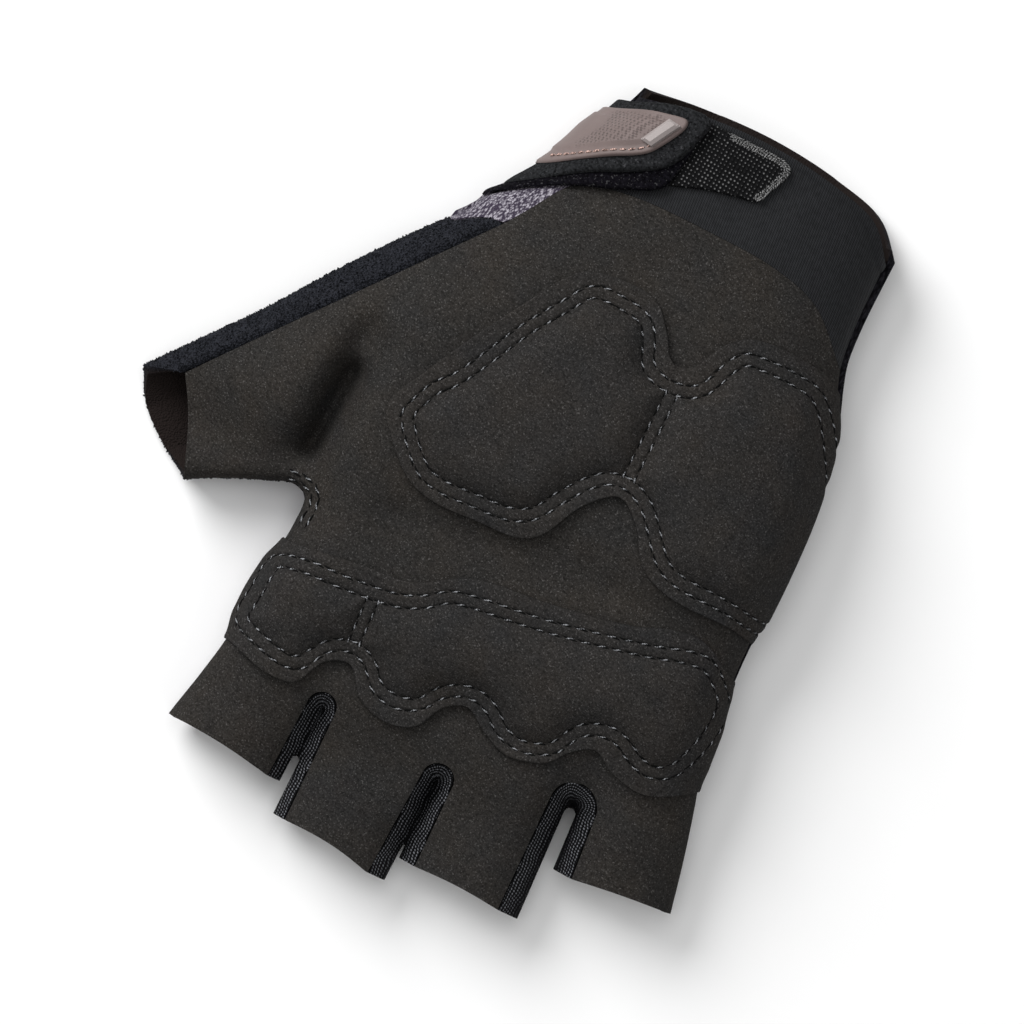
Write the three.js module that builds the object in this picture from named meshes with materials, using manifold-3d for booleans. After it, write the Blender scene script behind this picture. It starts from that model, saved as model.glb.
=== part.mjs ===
// Short-finger cycling glove for the right hand, lying on its back with the palm up.
// X runs to the little-finger side, Y from the fingertips to the wrist, Z up out of the palm.
// The origin lies under the middle of the palm, on the surface that the glove rests on.
import * as THREE from 'three';
import { mergeVertices } from 'three/addons/utils/BufferGeometryUtils.js';
import Module from 'manifold-3d';

const wasm = await Module();
wasm.setup();

// Driving sizes in millimetres
const gloveLength = 167;
const palmWidth = 100;
const palmHalfHeight = 14.5;
const seamGap = 0.3;
const suedeWall = 1.2;
const meshWall = 1.4;
const terryWall = 2.0;
const neopreneWall = 2.0;
const gussetWall = 1.0;
const restFlattening = 1.0;
const patchClearance = 0.4;
const patchWall = 1.1;
const patchHem = 5.2;
const heelPadding = 2.6;
const knucklePadding = 2.2;
const paddingSlope = 7;
const dividerHalfWidth = 1.2;
const hookWall = 0.9;
const strapUnderWall = 1.0;
const strapWall = 1.5;
const tabWall = 0.9;
const tabPlateau = 1.3;
const tabFlange = 2.2;
const insetKeptShare = 0.97;
const tipRise = 0.4;
const strapTuck = 2.5;
const hemWidth = 3;
const hemFold = 0.5;
const wristOverhang = 2.2;

// Grid counts
const palmGrid = { fingerColumns: 5, sideRows: 7, rootRows: 12, endRows: 4 };
const backGrid = { fingerColumns: 4, sideRows: 5, rootRows: 8, endRows: 6 };
const fingerRows = 6;
const thumbColumns = 9;
const stripColumns = 4;
const gussetColumns = 3;
const cuffColumns = 14;
const cuffRows = 6;
const strapColumns = 10;
const strapRows = 8;
const tuckRows = 3;
const curveSteps = 90;
const slotArcSteps = 12;
const pointsPerRow = 2;
const cutterReach = 6;

// Edges of the flat outline, as shares of the palm width and the glove length
const ulnarEdge = [
  { across: 0.640, along: -0.500 },
  { across: 0.596, along: -0.383 },
  { across: 0.567, along: -0.311 },
  { across: 0.545, along: -0.263 },
  { across: 0.518, along: -0.210 },
  { across: 0.508, along: -0.162 },
  { across: 0.496, along: -0.108 },
  { across: 0.490, along: -0.042 },
  { across: 0.488, along: 0.036 },
  { across: 0.481, along: 0.108 },
  { across: 0.467, along: 0.168 },
  { across: 0.446, along: 0.222 },
  { across: 0.418, along: 0.266 },
  { across: 0.402, along: 0.294 },
  { across: 0.392, along: 0.340 },
  { across: 0.388, along: 0.420 },
  { across: 0.385, along: 0.560 },
];
const radialEdge = [
  { across: -0.180, along: 0.560 },
  { across: -0.200, along: 0.479 },
  { across: -0.234, along: 0.425 },
  { across: -0.280, along: 0.362 },
  { across: -0.350, along: 0.308 },
  { across: -0.386, along: 0.286 },
  { across: -0.404, along: 0.262 },
  { across: -0.460, along: 0.222 },
  { across: -0.525, along: 0.173 },
  { across: -0.600, along: 0.112 },
  { across: -0.680, along: 0.043 },
  { across: -0.760, along: -0.018 },
  { across: -0.846, along: -0.084 },
  { across: -0.960, along: -0.170 },
];
const indexEdge = [
  { across: -0.800, along: -0.245 },
  { across: -0.668, along: -0.184 },
  { across: -0.595, along: -0.160 },
  { across: -0.520, along: -0.140 },
  { across: -0.470, along: -0.129 },
  { across: -0.438, along: -0.136 },
  { across: -0.432, along: -0.172 },
  { across: -0.438, along: -0.216 },
  { across: -0.446, along: -0.263 },
  { across: -0.447, along: -0.323 },
  { across: -0.463, along: -0.383 },
  { across: -0.482, along: -0.438 },
  { across: -0.505, along: -0.520 },
];

// Slots between the fingers: top of the seam, top of the open slot, its width and its lean
const fingerGaps = [
  { name: 'gusset_index_middle', across: -0.2150, along: -0.334, slot: -0.419, width: 0.016,
    lean: 0.000, seam: 0.0290, hems: [-0.455, -0.493] },
  { name: 'gusset_middle_ring', across: 0.0570, along: -0.347, slot: -0.455, width: 0.005,
    lean: 0.000, seam: 0.0320, hems: [-0.504, -0.472] },
  { name: 'gusset_ring_little', across: 0.3200, along: -0.293, slot: -0.325, width: 0.024,
    lean: -0.117, seam: 0.0480, hems: [-0.473, -0.400] },
];
const slotFlare = 1.3;
const pastFingertips = -0.56;

// How far the hem of each finger bows in, from the index finger to the little one
const hemBows = [0.004, 0.005, 0.003, 0.002];
const indexCorner = { across: -0.484, along: -0.443 };
const indexBase = { across: -0.447, along: -0.334 };
const littleBase = { across: 0.567, along: -0.283 };
const littleCorner = { across: 0.597, along: -0.384 };

// Seams on the palm side
const terrySeam = [
  { across: -0.762, along: -0.070 },
  { across: -0.650, along: 0.016 },
  { across: -0.550, along: 0.092 },
  { across: -0.450, along: 0.168 },
  { across: -0.326, along: 0.263 },
];
const suedeEdge = [
  { across: -0.326, along: 0.263 },
  { across: -0.292, along: 0.294 },
  { across: -0.258, along: 0.328 },
  { across: -0.230, along: 0.347 },
];
const cuffSeam = [
  { across: -0.230, along: 0.347 },
  { across: -0.120, along: 0.360 },
  { across: 0.050, along: 0.363 },
  { across: 0.200, along: 0.359 },
  { across: 0.300, along: 0.342 },
  { across: 0.400, along: 0.290 },
];
const cuffEnd = [
  { across: -0.230, along: 0.347 },
  { across: -0.170, along: 0.410 },
  { across: -0.150, along: 0.477 },
];
const wristHem = [
  { across: -0.199, along: 0.472 },
  { across: -0.080, along: 0.484 },
  { across: 0.080, along: 0.489 },
  { across: 0.230, along: 0.480 },
  { across: 0.330, along: 0.463 },
  { across: 0.388, along: 0.425 },
];
const meshSeam = [
  { across: -0.326, along: 0.263 },
  { across: -0.372, along: 0.257 },
  { across: -0.426, along: 0.238 },
];
const thumbRoot = [
  { across: -0.470, along: -0.129 },
  { across: -0.455, along: -0.036 },
  { across: -0.430, along: 0.072 },
  { across: -0.385, along: 0.180 },
  { across: -0.326, along: 0.263 },
];
const thumbRootBack = [
  { across: -0.470, along: -0.129 },
  { across: -0.440, along: 0.000 },
  { across: -0.420, along: 0.120 },
  { across: -0.426, along: 0.238 },
];
const thumbHemNear = [
  { across: -0.762, along: -0.070 },
  { across: -0.720, along: -0.112 },
  { across: -0.668, along: -0.184 },
];
const thumbHemFar = [
  { across: -0.846, along: -0.084 },
  { across: -0.815, along: -0.119 },
  { across: -0.750, along: -0.154 },
  { across: -0.668, along: -0.184 },
];

// Half height of the hollow form and how far each side rolls over, as shares
const sections = [
  { along: -0.500, height: 0.56, radialRoll: 0.12, ulnarRoll: 0.13 },
  { along: -0.400, height: 0.60, radialRoll: 0.12, ulnarRoll: 0.13 },
  { along: -0.300, height: 0.74, radialRoll: 0.13, ulnarRoll: 0.17 },
  { along: -0.180, height: 0.90, radialRoll: 0.14, ulnarRoll: 0.24 },
  { along: 0.000, height: 1.00, radialRoll: 0.17, ulnarRoll: 0.29 },
  { along: 0.200, height: 1.00, radialRoll: 0.24, ulnarRoll: 0.29 },
  { along: 0.350, height: 0.92, radialRoll: 0.25, ulnarRoll: 0.27 },
  { along: 0.500, height: 0.90, radialRoll: 0.25, ulnarRoll: 0.27 },
];
const indexRoll = 0.125;
const slotRoll = 0.12;
const thumbTaper = { from: -0.38, to: -0.84, loss: 0.36 };

// Dents and folds of the palm side: a valley between two places, as shares
const dents = [
  { name: 'thumb root', from: [-0.475, 0.075], to: [-0.465, -0.085], width: 0.045, depth: 0.16 },
  { name: 'palm hollow', from: [-0.240, -0.105], to: [0.120, -0.075], width: 0.060, depth: 0.10 },
  { name: 'ulnar hollow', from: [0.200, -0.066], to: [0.450, -0.068], width: 0.030, depth: 0.07 },
  { name: 'index fold', from: [-0.215, -0.360], to: [-0.208, -0.415], width: 0.022, depth: 0.42 },
  { name: 'middle fold', from: [0.057, -0.375], to: [0.057, -0.450], width: 0.020, depth: 0.48 },
];

// Outlines of what is sewn or fastened on top
const heelOutline = [
  { across: -0.370, along: 0.005 },
  { across: -0.330, along: 0.066 },
  { across: -0.225, along: 0.182 },
  { across: -0.150, along: 0.249 },
  { across: -0.100, along: 0.262 },
  { across: 0.010, along: 0.262 },
  { across: 0.058, along: 0.235 },
  { across: 0.098, along: 0.205 },
  { across: 0.135, along: 0.210 },
  { across: 0.172, along: 0.250 },
  { across: 0.215, along: 0.272 },
  { across: 0.330, along: 0.277 },
  { across: 0.410, along: 0.266 },
  { across: 0.520, along: 0.210 },
  { across: 0.560, along: 0.080 },
  { across: 0.545, along: -0.047 },
  { across: 0.425, along: -0.046 },
  { across: 0.300, along: -0.045 },
  { across: 0.230, along: -0.030 },
  { across: 0.175, along: 0.013 },
  { across: 0.125, along: 0.032 },
  { across: 0.070, along: 0.005 },
  { across: 0.020, along: -0.048 },
  { across: -0.020, along: -0.063 },
  { across: -0.100, along: -0.067 },
  { across: -0.210, along: -0.070 },
  { across: -0.270, along: -0.059 },
  { across: -0.335, along: -0.026 },
];
const knuckleOutline = [
  { across: -0.500, along: -0.330 },
  { across: -0.500, along: -0.200 },
  { across: -0.400, along: -0.191 },
  { across: -0.280, along: -0.178 },
  { across: -0.170, along: -0.169 },
  { across: -0.060, along: -0.132 },
  { across: 0.100, along: -0.117 },
  { across: 0.250, along: -0.098 },
  { across: 0.390, along: -0.073 },
  { across: 0.460, along: -0.092 },
  { across: 0.540, along: -0.120 },
  { across: 0.560, along: -0.220 },
  { across: 0.500, along: -0.250 },
  { across: 0.430, along: -0.270 },
  { across: 0.360, along: -0.262 },
  { across: 0.310, along: -0.247 },
  { across: 0.270, along: -0.262 },
  { across: 0.230, along: -0.290 },
  { across: 0.155, along: -0.303 },
  { across: 0.095, along: -0.289 },
  { across: 0.045, along: -0.271 },
  { across: 0.005, along: -0.284 },
  { across: -0.030, along: -0.320 },
  { across: -0.090, along: -0.331 },
  { across: -0.155, along: -0.320 },
  { across: -0.205, along: -0.290 },
  { across: -0.250, along: -0.302 },
  { across: -0.285, along: -0.337 },
  { across: -0.340, along: -0.343 },
  { across: -0.430, along: -0.332 },
];
const strapFoot = { across: -0.404, along: 0.262 };
const strapFar = { across: 0.170, along: 0.487 };
const heelDivider = { from: [0.124, 0.200], to: [0.124, 0.035] };
const knuckleDivider = { from: [-0.223, -0.175], to: [-0.213, -0.290] };
const hookOutline = [
  { across: -0.200, along: 0.368 },
  { across: -0.080, along: 0.388 },
  { across: 0.000, along: 0.406 },
  { across: 0.060, along: 0.415 },
  { across: 0.104, along: 0.422 },
  { across: 0.118, along: 0.440 },
  { across: 0.134, along: 0.470 },
  { across: 0.125, along: 0.478 },
  { across: 0.050, along: 0.481 },
  { across: -0.080, along: 0.478 },
  { across: -0.160, along: 0.466 },
];
const strapOutline = [
  { across: -0.460, along: 0.270 },
  { across: -0.384, along: 0.302 },
  { across: -0.300, along: 0.335 },
  { across: -0.225, along: 0.364 },
  { across: -0.150, along: 0.386 },
  { across: -0.098, along: 0.406 },
  { across: -0.074, along: 0.424 },
  { across: -0.055, along: 0.460 },
  { across: -0.050, along: 0.477 },
  { across: -0.070, along: 0.486 },
  { across: -0.140, along: 0.480 },
  { across: -0.220, along: 0.462 },
  { across: -0.290, along: 0.452 },
  { across: -0.460, along: 0.420 },
];
const strapUnderOutline = [
  { across: -0.460, along: 0.258 },
  { across: -0.380, along: 0.292 },
  { across: -0.300, along: 0.323 },
  { across: -0.228, along: 0.344 },
  { across: -0.150, along: 0.362 },
  { across: -0.080, along: 0.385 },
  { across: -0.062, along: 0.420 },
  { across: -0.060, along: 0.460 },
  { across: -0.070, along: 0.476 },
  { across: -0.140, along: 0.470 },
  { across: -0.220, along: 0.455 },
  { across: -0.290, along: 0.445 },
  { across: -0.460, along: 0.410 },
];
const tabOutline = [
  { across: -0.400, along: 0.335 },
  { across: -0.335, along: 0.345 },
  { across: -0.250, along: 0.374 },
  { across: -0.200, along: 0.392 },
  { across: -0.140, along: 0.413 },
  { across: -0.118, along: 0.430 },
  { across: -0.092, along: 0.462 },
  { across: -0.096, along: 0.470 },
  { across: -0.150, along: 0.465 },
  { across: -0.240, along: 0.446 },
  { across: -0.285, along: 0.436 },
  { across: -0.360, along: 0.420 },
];
const tipOutline = [
  { across: -0.130, along: 0.462 },
  { across: -0.104, along: 0.460 },
  { across: -0.138, along: 0.423 },
  { across: -0.163, along: 0.425 },
];

// Plain curves and paths in the flat outline
const spot = (row) => new THREE.Vector3(row.across * palmWidth, row.along * gloveLength, 0);
const spotOf = (pair) => new THREE.Vector3(pair[0] * palmWidth, pair[1] * gloveLength, 0);

function pathOf(rows) {
  return new THREE.CatmullRomCurve3(rows.map(spot), false, 'centripetal').getSpacedPoints(curveSteps);
}

function lengthsOf(path) {
  const lengths = [0];
  for (let i = 1; i < path.length; i += 1) {
    lengths.push(lengths[i - 1] + path[i].distanceTo(path[i - 1]));
  }
  return lengths;
}

function pointAt(path, lengths, length) {
  let i = 1;
  while (i < path.length - 1 && lengths[i] < length) i += 1;
  const share = (length - lengths[i - 1]) / (lengths[i] - lengths[i - 1]);
  return path[i - 1].clone().lerp(path[i], THREE.MathUtils.clamp(share, 0, 1));
}

function nearestOnSegment(x, y, a, b) {
  const dx = b.x - a.x;
  const dy = b.y - a.y;
  const t = THREE.MathUtils.clamp(((x - a.x) * dx + (y - a.y) * dy) / (dx * dx + dy * dy), 0, 1);
  return { t, distance: Math.hypot(x - a.x - t * dx, y - a.y - t * dy) };
}

function nearestLength(path, lengths, point) {
  let best = { distance: Infinity, length: 0 };
  for (let i = 1; i < path.length; i += 1) {
    const near = nearestOnSegment(point.x, point.y, path[i - 1], path[i]);
    if (near.distance < best.distance) {
      best = { distance: near.distance, length: lengths[i - 1] + near.t * (lengths[i] - lengths[i - 1]) };
    }
  }
  return best.length;
}

function stretch(path, from, to, shares) {
  const lengths = lengthsOf(path);
  const start = nearestLength(path, lengths, from);
  const end = nearestLength(path, lengths, to);
  return shares.map((share) => pointAt(path, lengths, start + (end - start) * share));
}

function nearestOn(path, point) {
  return stretch(path, point, point, [0])[0];
}

function moved(point, x, y) {
  return new THREE.Vector3(point.x + x, point.y + y, 0);
}

// A stretch of a path whose ends are exactly the two corners given
function border(path, from, to, shares) {
  return [from, ...stretch(path, from, to, shares).slice(1, -1), to];
}

function aside(path, amount) {
  return path.map((point, i) => {
    const before = path[Math.max(i - 1, 0)];
    const after = path[Math.min(i + 1, path.length - 1)];
    const along = after.clone().sub(before).normalize();
    return point.clone().add(new THREE.Vector3(-along.y, along.x, 0).multiplyScalar(amount));
  });
}

function inset(ring, amount) {
  const loop = [...ring, ring[0]];
  const shifted = aside([ring[ring.length - 1], ...loop], amount).slice(1, -1);
  return shifted.filter((p) => distanceTo(loop, p.x, p.y) > amount * insetKeptShare);
}

function distanceTo(path, x, y) {
  let best = Infinity;
  for (let i = 1; i < path.length; i += 1) {
    best = Math.min(best, nearestOnSegment(x, y, path[i - 1], path[i]).distance);
  }
  return best;
}

// Distance into the cloth, which lies to the left of every edge path
function depthInside(path, x, y) {
  let best = { distance: Infinity, sign: 1 };
  for (let i = 1; i < path.length; i += 1) {
    const [a, b] = [path[i - 1], path[i]];
    const { distance } = nearestOnSegment(x, y, a, b);
    if (distance < best.distance) {
      const turn = (b.x - a.x) * (y - a.y) - (b.y - a.y) * (x - a.x);
      best = { distance, sign: Math.sign(turn) || 1 };
    }
  }
  return best.distance * best.sign;
}

function even(count) {
  return Array.from({ length: count + 1 }, (_, i) => i / count);
}

function crowdedBoth(count) {
  return even(count).map((t) => (1 - Math.cos(Math.PI * t)) / 2);
}

function crowdedStart(count) {
  return even(count).map((t) => 1 - Math.cos((Math.PI * t) / 2));
}

function crowdedEnd(count) {
  return even(count).map((t) => Math.sin((Math.PI * t) / 2));
}

const lastOf = (rows) => rows[rows.length - 1];

const joined = (...lists) => lists.flatMap((list, i) => (i === 0 ? list : list.slice(1)));

// Outline paths
const ulnar = pathOf(ulnarEdge);
const radial = pathOf(radialEdge);
const index = pathOf(indexEdge);

// Each slot runs up one finger, round its top and down the next one
function slotPath(gap, halfWidth, top) {
  const radius = halfWidth * palmWidth;
  const place = (turn, y) => {
    const lean = gap.lean * palmWidth * (y / gloveLength - gap.along);
    return new THREE.Vector3(gap.across * palmWidth + turn * radius + lean, y, 0);
  };
  const round = even(slotArcSteps).map((t) => {
    const angle = Math.PI * (1 - t);
    return place(Math.cos(angle), top * gloveLength - radius + radius * Math.sin(angle));
  });
  const footY = pastFingertips * gloveLength;
  return [place(-slotFlare, footY), ...round, place(slotFlare, footY)];
}

const slots = fingerGaps.map((gap) => slotPath(gap, gap.width / 2, gap.slot));
const seams = fingerGaps.map((gap) => slotPath(gap, gap.seam, gap.along));

// Height of the hollow form over the flat outline
function sectionAt(y) {
  const along = y / gloveLength;
  let i = 1;
  while (i < sections.length - 1 && sections[i].along < along) i += 1;
  const a = sections[i - 1];
  const b = sections[i];
  const t = THREE.MathUtils.smoothstep(along, a.along, b.along);
  const mix = (key) => a[key] + (b[key] - a[key]) * t;
  return { height: mix('height'), radialRoll: mix('radialRoll'), ulnarRoll: mix('ulnarRoll') };
}

function halfHeight(x, y) {
  const taper = THREE.MathUtils.smoothstep(-x / palmWidth, -thumbTaper.from, -thumbTaper.to);
  return palmHalfHeight * sectionAt(y).height * (1 - thumbTaper.loss * taper);
}

// Squared fullness: nothing on the outline, one well inside it
function fullness(x, y) {
  const at = sectionAt(y);
  const edges = [
    [ulnar, at.ulnarRoll],
    [radial, at.radialRoll],
    [index, indexRoll],
    ...slots.map((slot) => [slot, slotRoll]),
  ];
  return edges.reduce((full, [path, roll]) => {
    const rest = Math.max(1 - depthInside(path, x, y) / (roll * palmWidth), 0);
    return full * (1 - rest * rest);
  }, 1);
}

function dentDepth(x, y) {
  return dents.reduce((depth, dent) => {
    const near = nearestOnSegment(x, y, spotOf(dent.from), spotOf(dent.to));
    const across = near.distance / (dent.width * palmWidth);
    return depth + dent.depth * palmHalfHeight * Math.exp(-across * across);
  }, 0);
}

// Place and outward direction of the cloth over one spot, for the palm side (+1) or the back (-1)
const probe = 0.05;

function onSkin({ x, y, side }) {
  const height = halfHeight(x, y);
  const middle = height - restFlattening;
  const full = fullness(x, y);
  const dent = side > 0 ? dentDepth(x, y) * full : 0;
  const rise = height * Math.sqrt(Math.max(full, 0));
  const z = middle + side * (seamGap / 2 + rise) - dent;
  if (z <= 0) {
    return { point: new THREE.Vector3(x, y, 0), out: new THREE.Vector3(0, 0, -1) };
  }
  const slope = (value) => [
    (value(x + probe, y) - value(x - probe, y)) / (2 * probe),
    (value(x, y + probe) - value(x, y - probe)) / (2 * probe),
  ];
  const share = (side * rise) / height;
  const fullSlope = slope(fullness);
  const heightSlope = slope(halfHeight);
  const dentSlope = side > 0 ? slope((a, b) => dentDepth(a, b) * fullness(a, b)) : [0, 0];
  const lean = (k) => {
    const shareSlope = (-heightSlope[k] + dentSlope[k] - share * heightSlope[k]) / height;
    return 2 * share * shareSlope - fullSlope[k];
  };
  const out = new THREE.Vector3(lean(0), lean(1), (2 * share) / height).normalize();
  return { point: new THREE.Vector3(x, y, z), out };
}

// A grid of spots spanned between four border lines
function patch(bottom, right, top, left, side) {
  const columns = bottom.length - 1;
  const rows = left.length - 1;
  const share = (list, i) => lengthsOf(list)[i] / lengthsOf(list)[list.length - 1];
  const onBorder = (i, j) => {
    if (j === 0) return bottom[i];
    if (j === rows) return top[i];
    if (i === 0) return left[j];
    return i === columns ? right[j] : null;
  };
  return even(rows).map((_, j) => even(columns).map((__, i) => {
    const known = onBorder(i, j);
    if (known) return { x: known.x, y: known.y, side };
    const u = (share(bottom, i) * (rows - j) + share(top, i) * j) / rows;
    const v = (share(left, j) * (columns - i) + share(right, j) * i) / columns;
    const mix = (key) => (1 - v) * bottom[i][key] + v * top[i][key]
      + (1 - u) * left[j][key] + u * right[j][key]
      - (1 - u) * (1 - v) * bottom[0][key] - u * (1 - v) * bottom[columns][key]
      - (1 - u) * v * top[0][key] - u * v * top[columns][key];
    return { x: mix('x'), y: mix('y'), side };
  }));
}

// Cloth that turns from one side of the glove to the other along an edge
function bridge(points) {
  return [points.map(({ x, y }) => ({ x, y, side: -1 })), points.map(({ x, y }) => ({ x, y, side: 1 }))];
}

// A closed sheet over welded grids, between two heights above the skin
function sheet(grids, upper, lower) {
  const spots = [];
  const known = new Map();
  const number = (at) => {
    const key = `${at.x.toFixed(3)} ${at.y.toFixed(3)} ${at.side}`;
    if (!known.has(key)) {
      known.set(key, spots.length);
      spots.push({ ...at, ...onSkin(at) });
    }
    return known.get(key);
  };
  const facing = (triangle) => {
    const [a, b, c] = triangle.map((n) => spots[n]);
    const normal = b.point.clone().sub(a.point).cross(c.point.clone().sub(a.point));
    return normal.dot(a.out.clone().add(b.out).add(c.out));
  };
  const solidTriangles = grids.flatMap((grid) => {
    const triangles = [];
    for (let j = 0; j < grid.length - 1; j += 1) {
      for (let i = 0; i < grid[j].length - 1; i += 1) {
        const corners = [grid[j][i], grid[j][i + 1], grid[j + 1][i + 1], grid[j + 1][i]].map(number);
        triangles.push([corners[0], corners[1], corners[2]], [corners[0], corners[2], corners[3]]);
      }
    }
    const whole = triangles.filter(([a, b, c]) => a !== b && b !== c && c !== a);
    const outward = whole.reduce((sum, triangle) => sum + facing(triangle), 0);
    return outward < 0 ? whole.map(([a, b, c]) => [a, c, b]) : whole;
  });
  const edges = new Map();
  for (const triangle of solidTriangles) {
    for (let k = 0; k < 3; k += 1) {
      const [a, b] = [triangle[k], triangle[(k + 1) % 3]];
      if (edges.has(`${b} ${a}`)) edges.delete(`${b} ${a}`);
      else edges.set(`${a} ${b}`, [a, b]);
    }
  }
  const liftAt = (height, at) => (typeof height === 'function' ? height(at) : height);
  const raised = (height) => spots.map((at) => at.point.clone().addScaledVector(at.out, liftAt(height, at)));
  const positions = [...raised(upper), ...raised(lower)].flatMap((p) => p.toArray());
  const under = spots.length;
  const faces = [];
  solidTriangles.forEach(([a, b, c]) => faces.push(a, b, c, a + under, c + under, b + under));
  edges.forEach(([a, b]) => faces.push(b, a, a + under, b, a + under, b + under));
  const geometry = new THREE.BufferGeometry();
  geometry.setAttribute('position', new THREE.Float32BufferAttribute(positions, 3));
  geometry.setIndex(faces);
  return geometry;
}

// Cutting a sheet to an outline drawn on the palm
function solidOf(geometry) {
  const bare = geometry.clone();
  bare.deleteAttribute('normal');
  bare.deleteAttribute('uv');
  const merged = mergeVertices(bare, 1e-4);
  return new wasm.Manifold(new wasm.Mesh({
    numProp: 3,
    vertProperties: new Float32Array(merged.attributes.position.array),
    triVerts: new Uint32Array(merged.index.array),
  }));
}

function geometryOf(solid) {
  const mesh = solid.getMesh();
  const geometry = new THREE.BufferGeometry();
  geometry.setAttribute('position', new THREE.BufferAttribute(new Float32Array(mesh.vertProperties), 3));
  geometry.setIndex(new THREE.BufferAttribute(new Uint32Array(mesh.triVerts), 1));
  return geometry;
}

function prism(path) {
  const outline = new THREE.Shape(path.map((p) => new THREE.Vector2(p.x, p.y)));
  const reach = cutterReach * palmHalfHeight;
  const body = new THREE.ExtrudeGeometry(outline, { depth: 2 * reach, bevelEnabled: false });
  return solidOf(body.translate(0, 0, -reach));
}

function outlineOf(rows) {
  const curve = new THREE.CatmullRomCurve3(rows.map(spot), true, 'centripetal');
  return curve.getSpacedPoints(rows.length * pointsPerRow).slice(0, -1);
}

function cutTo(geometry, path) {
  return geometryOf(solidOf(geometry).intersect(prism(path)));
}

function inside(path, x, y) {
  let odd = false;
  path.forEach((a, i) => {
    const b = path[(i + 1) % path.length];
    const crosses = a.y > y !== b.y > y;
    if (crosses && x < a.x + ((b.x - a.x) * (y - a.y)) / (b.y - a.y)) odd = !odd;
  });
  return odd;
}

// Palm side of the hand and fingers
const halfGap = seamGap / 2;
const terryLine = pathOf(terrySeam);
const suedeLine = pathOf(suedeEdge);
const cuffLine = pathOf(cuffSeam);
const hemLine = pathOf(wristHem);
const cuffEndLine = pathOf(cuffEnd);
const meshLine = pathOf(meshSeam);
const rootLine = pathOf(thumbRoot);
const rootBackLine = pathOf(thumbRootBack);
const nearHemLine = pathOf(thumbHemNear);
const farHemLine = pathOf(thumbHemFar);

const crotch = spot(thumbRoot[0]);
const radialCorner = spot(suedeEdge[0]);
const cuffCorner = spot(cuffSeam[0]);
const cuffUlnar = spot(lastOf(cuffSeam));

function crotchPoints() {
  return [indexBase, ...fingerGaps, littleBase].map(spot);
}

function fingerShares(finger, columns) {
  if (finger === 0) return crowdedStart(columns);
  if (finger === fingerGaps.length) return crowdedEnd(columns);
  return even(columns);
}

// The four fingers on one side of the glove, each from its hem up to the row of crotches
function fingerPatches(side, crotches, columns) {
  return even(fingerGaps.length).map((_, finger) => {
    const first = finger === 0;
    const last = finger === fingerGaps.length;
    const top = crotches.slice(finger * columns, (finger + 1) * columns + 1);
    const rows = even(fingerRows);
    const leftFoot = first ? spot(indexCorner)
      : new THREE.Vector3(0, fingerGaps[finger - 1].hems[1] * gloveLength, 0);
    const rightFoot = last ? spot(littleCorner)
      : new THREE.Vector3(0, fingerGaps[finger].hems[0] * gloveLength, 0);
    const left = first ? stretch(index, leftFoot, top[0], rows) : seamSide(finger - 1, 1, leftFoot.y, rows);
    const right = last ? stretch(ulnar, rightFoot, top[columns], rows)
      : seamSide(finger, -1, rightFoot.y, rows);
    left[fingerRows] = top[0];
    right[fingerRows] = top[columns];
    const hem = fingerShares(finger, columns).map((t) => {
      const bow = hemBows[finger] * gloveLength * Math.sin(Math.PI * t);
      return left[0].clone().lerp(right[0], t).add(new THREE.Vector3(0, bow, 0));
    });
    return patch(hem, right, top, left, side);
  });
}

// One side of a gusset seam from a hem height up to its top
function seamSide(gap, side, footY, shares, shift = halfGap) {
  const path = aside(seams[gap], shift);
  const middle = Math.floor(path.length / 2);
  const branch = side < 0 ? path.slice(0, middle + 1) : path.slice(middle).reverse();
  const foot = branch.find((p, i) => i > 0 && p.y > footY);
  const i = branch.indexOf(foot);
  const t = (footY - branch[i - 1].y) / (foot.y - branch[i - 1].y);
  const start = branch[i - 1].clone().lerp(foot, t);
  const line = [start, ...branch.slice(i)];
  const lengths = lengthsOf(line);
  return shares.map((share) => pointAt(line, lengths, share * lengths[lengths.length - 1]));
}

function crotchRow(columns) {
  const marks = crotchPoints();
  marks[0] = nearestOn(index, marks[0]);
  marks[marks.length - 1] = nearestOn(ulnar, marks[marks.length - 1]);
  const tops = marks.map((mark, i) => {
    const inner = i > 0 && i < marks.length - 1;
    return inner ? mark.clone().add(new THREE.Vector3(0, halfGap, 0)) : mark;
  });
  return joined(...even(fingerGaps.length).map((_, finger) => fingerShares(finger, columns).map(
    (t) => tops[finger].clone().lerp(tops[finger + 1], t),
  )));
}

const palmColumns = palmGrid.fingerColumns * (fingerGaps.length + 1);
const palmCrotchRow = crotchRow(palmGrid.fingerColumns);
const palmRim = aside(joined(terryLine, suedeLine, cuffLine), -halfGap);
const rimCorner = nearestOn(palmRim, radialCorner);
const rimCuff = nearestOn(palmRim, cuffCorner);
const rimUlnar = nearestOn(palmRim, cuffUlnar);
const ulnarCuff = nearestOn(ulnar, rimUlnar);
const indexCrotch = nearestOn(index, crotch);

function pinned(list, first, last) {
  const copy = list.slice();
  copy[0] = first;
  copy[copy.length - 1] = last;
  return copy;
}

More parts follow.
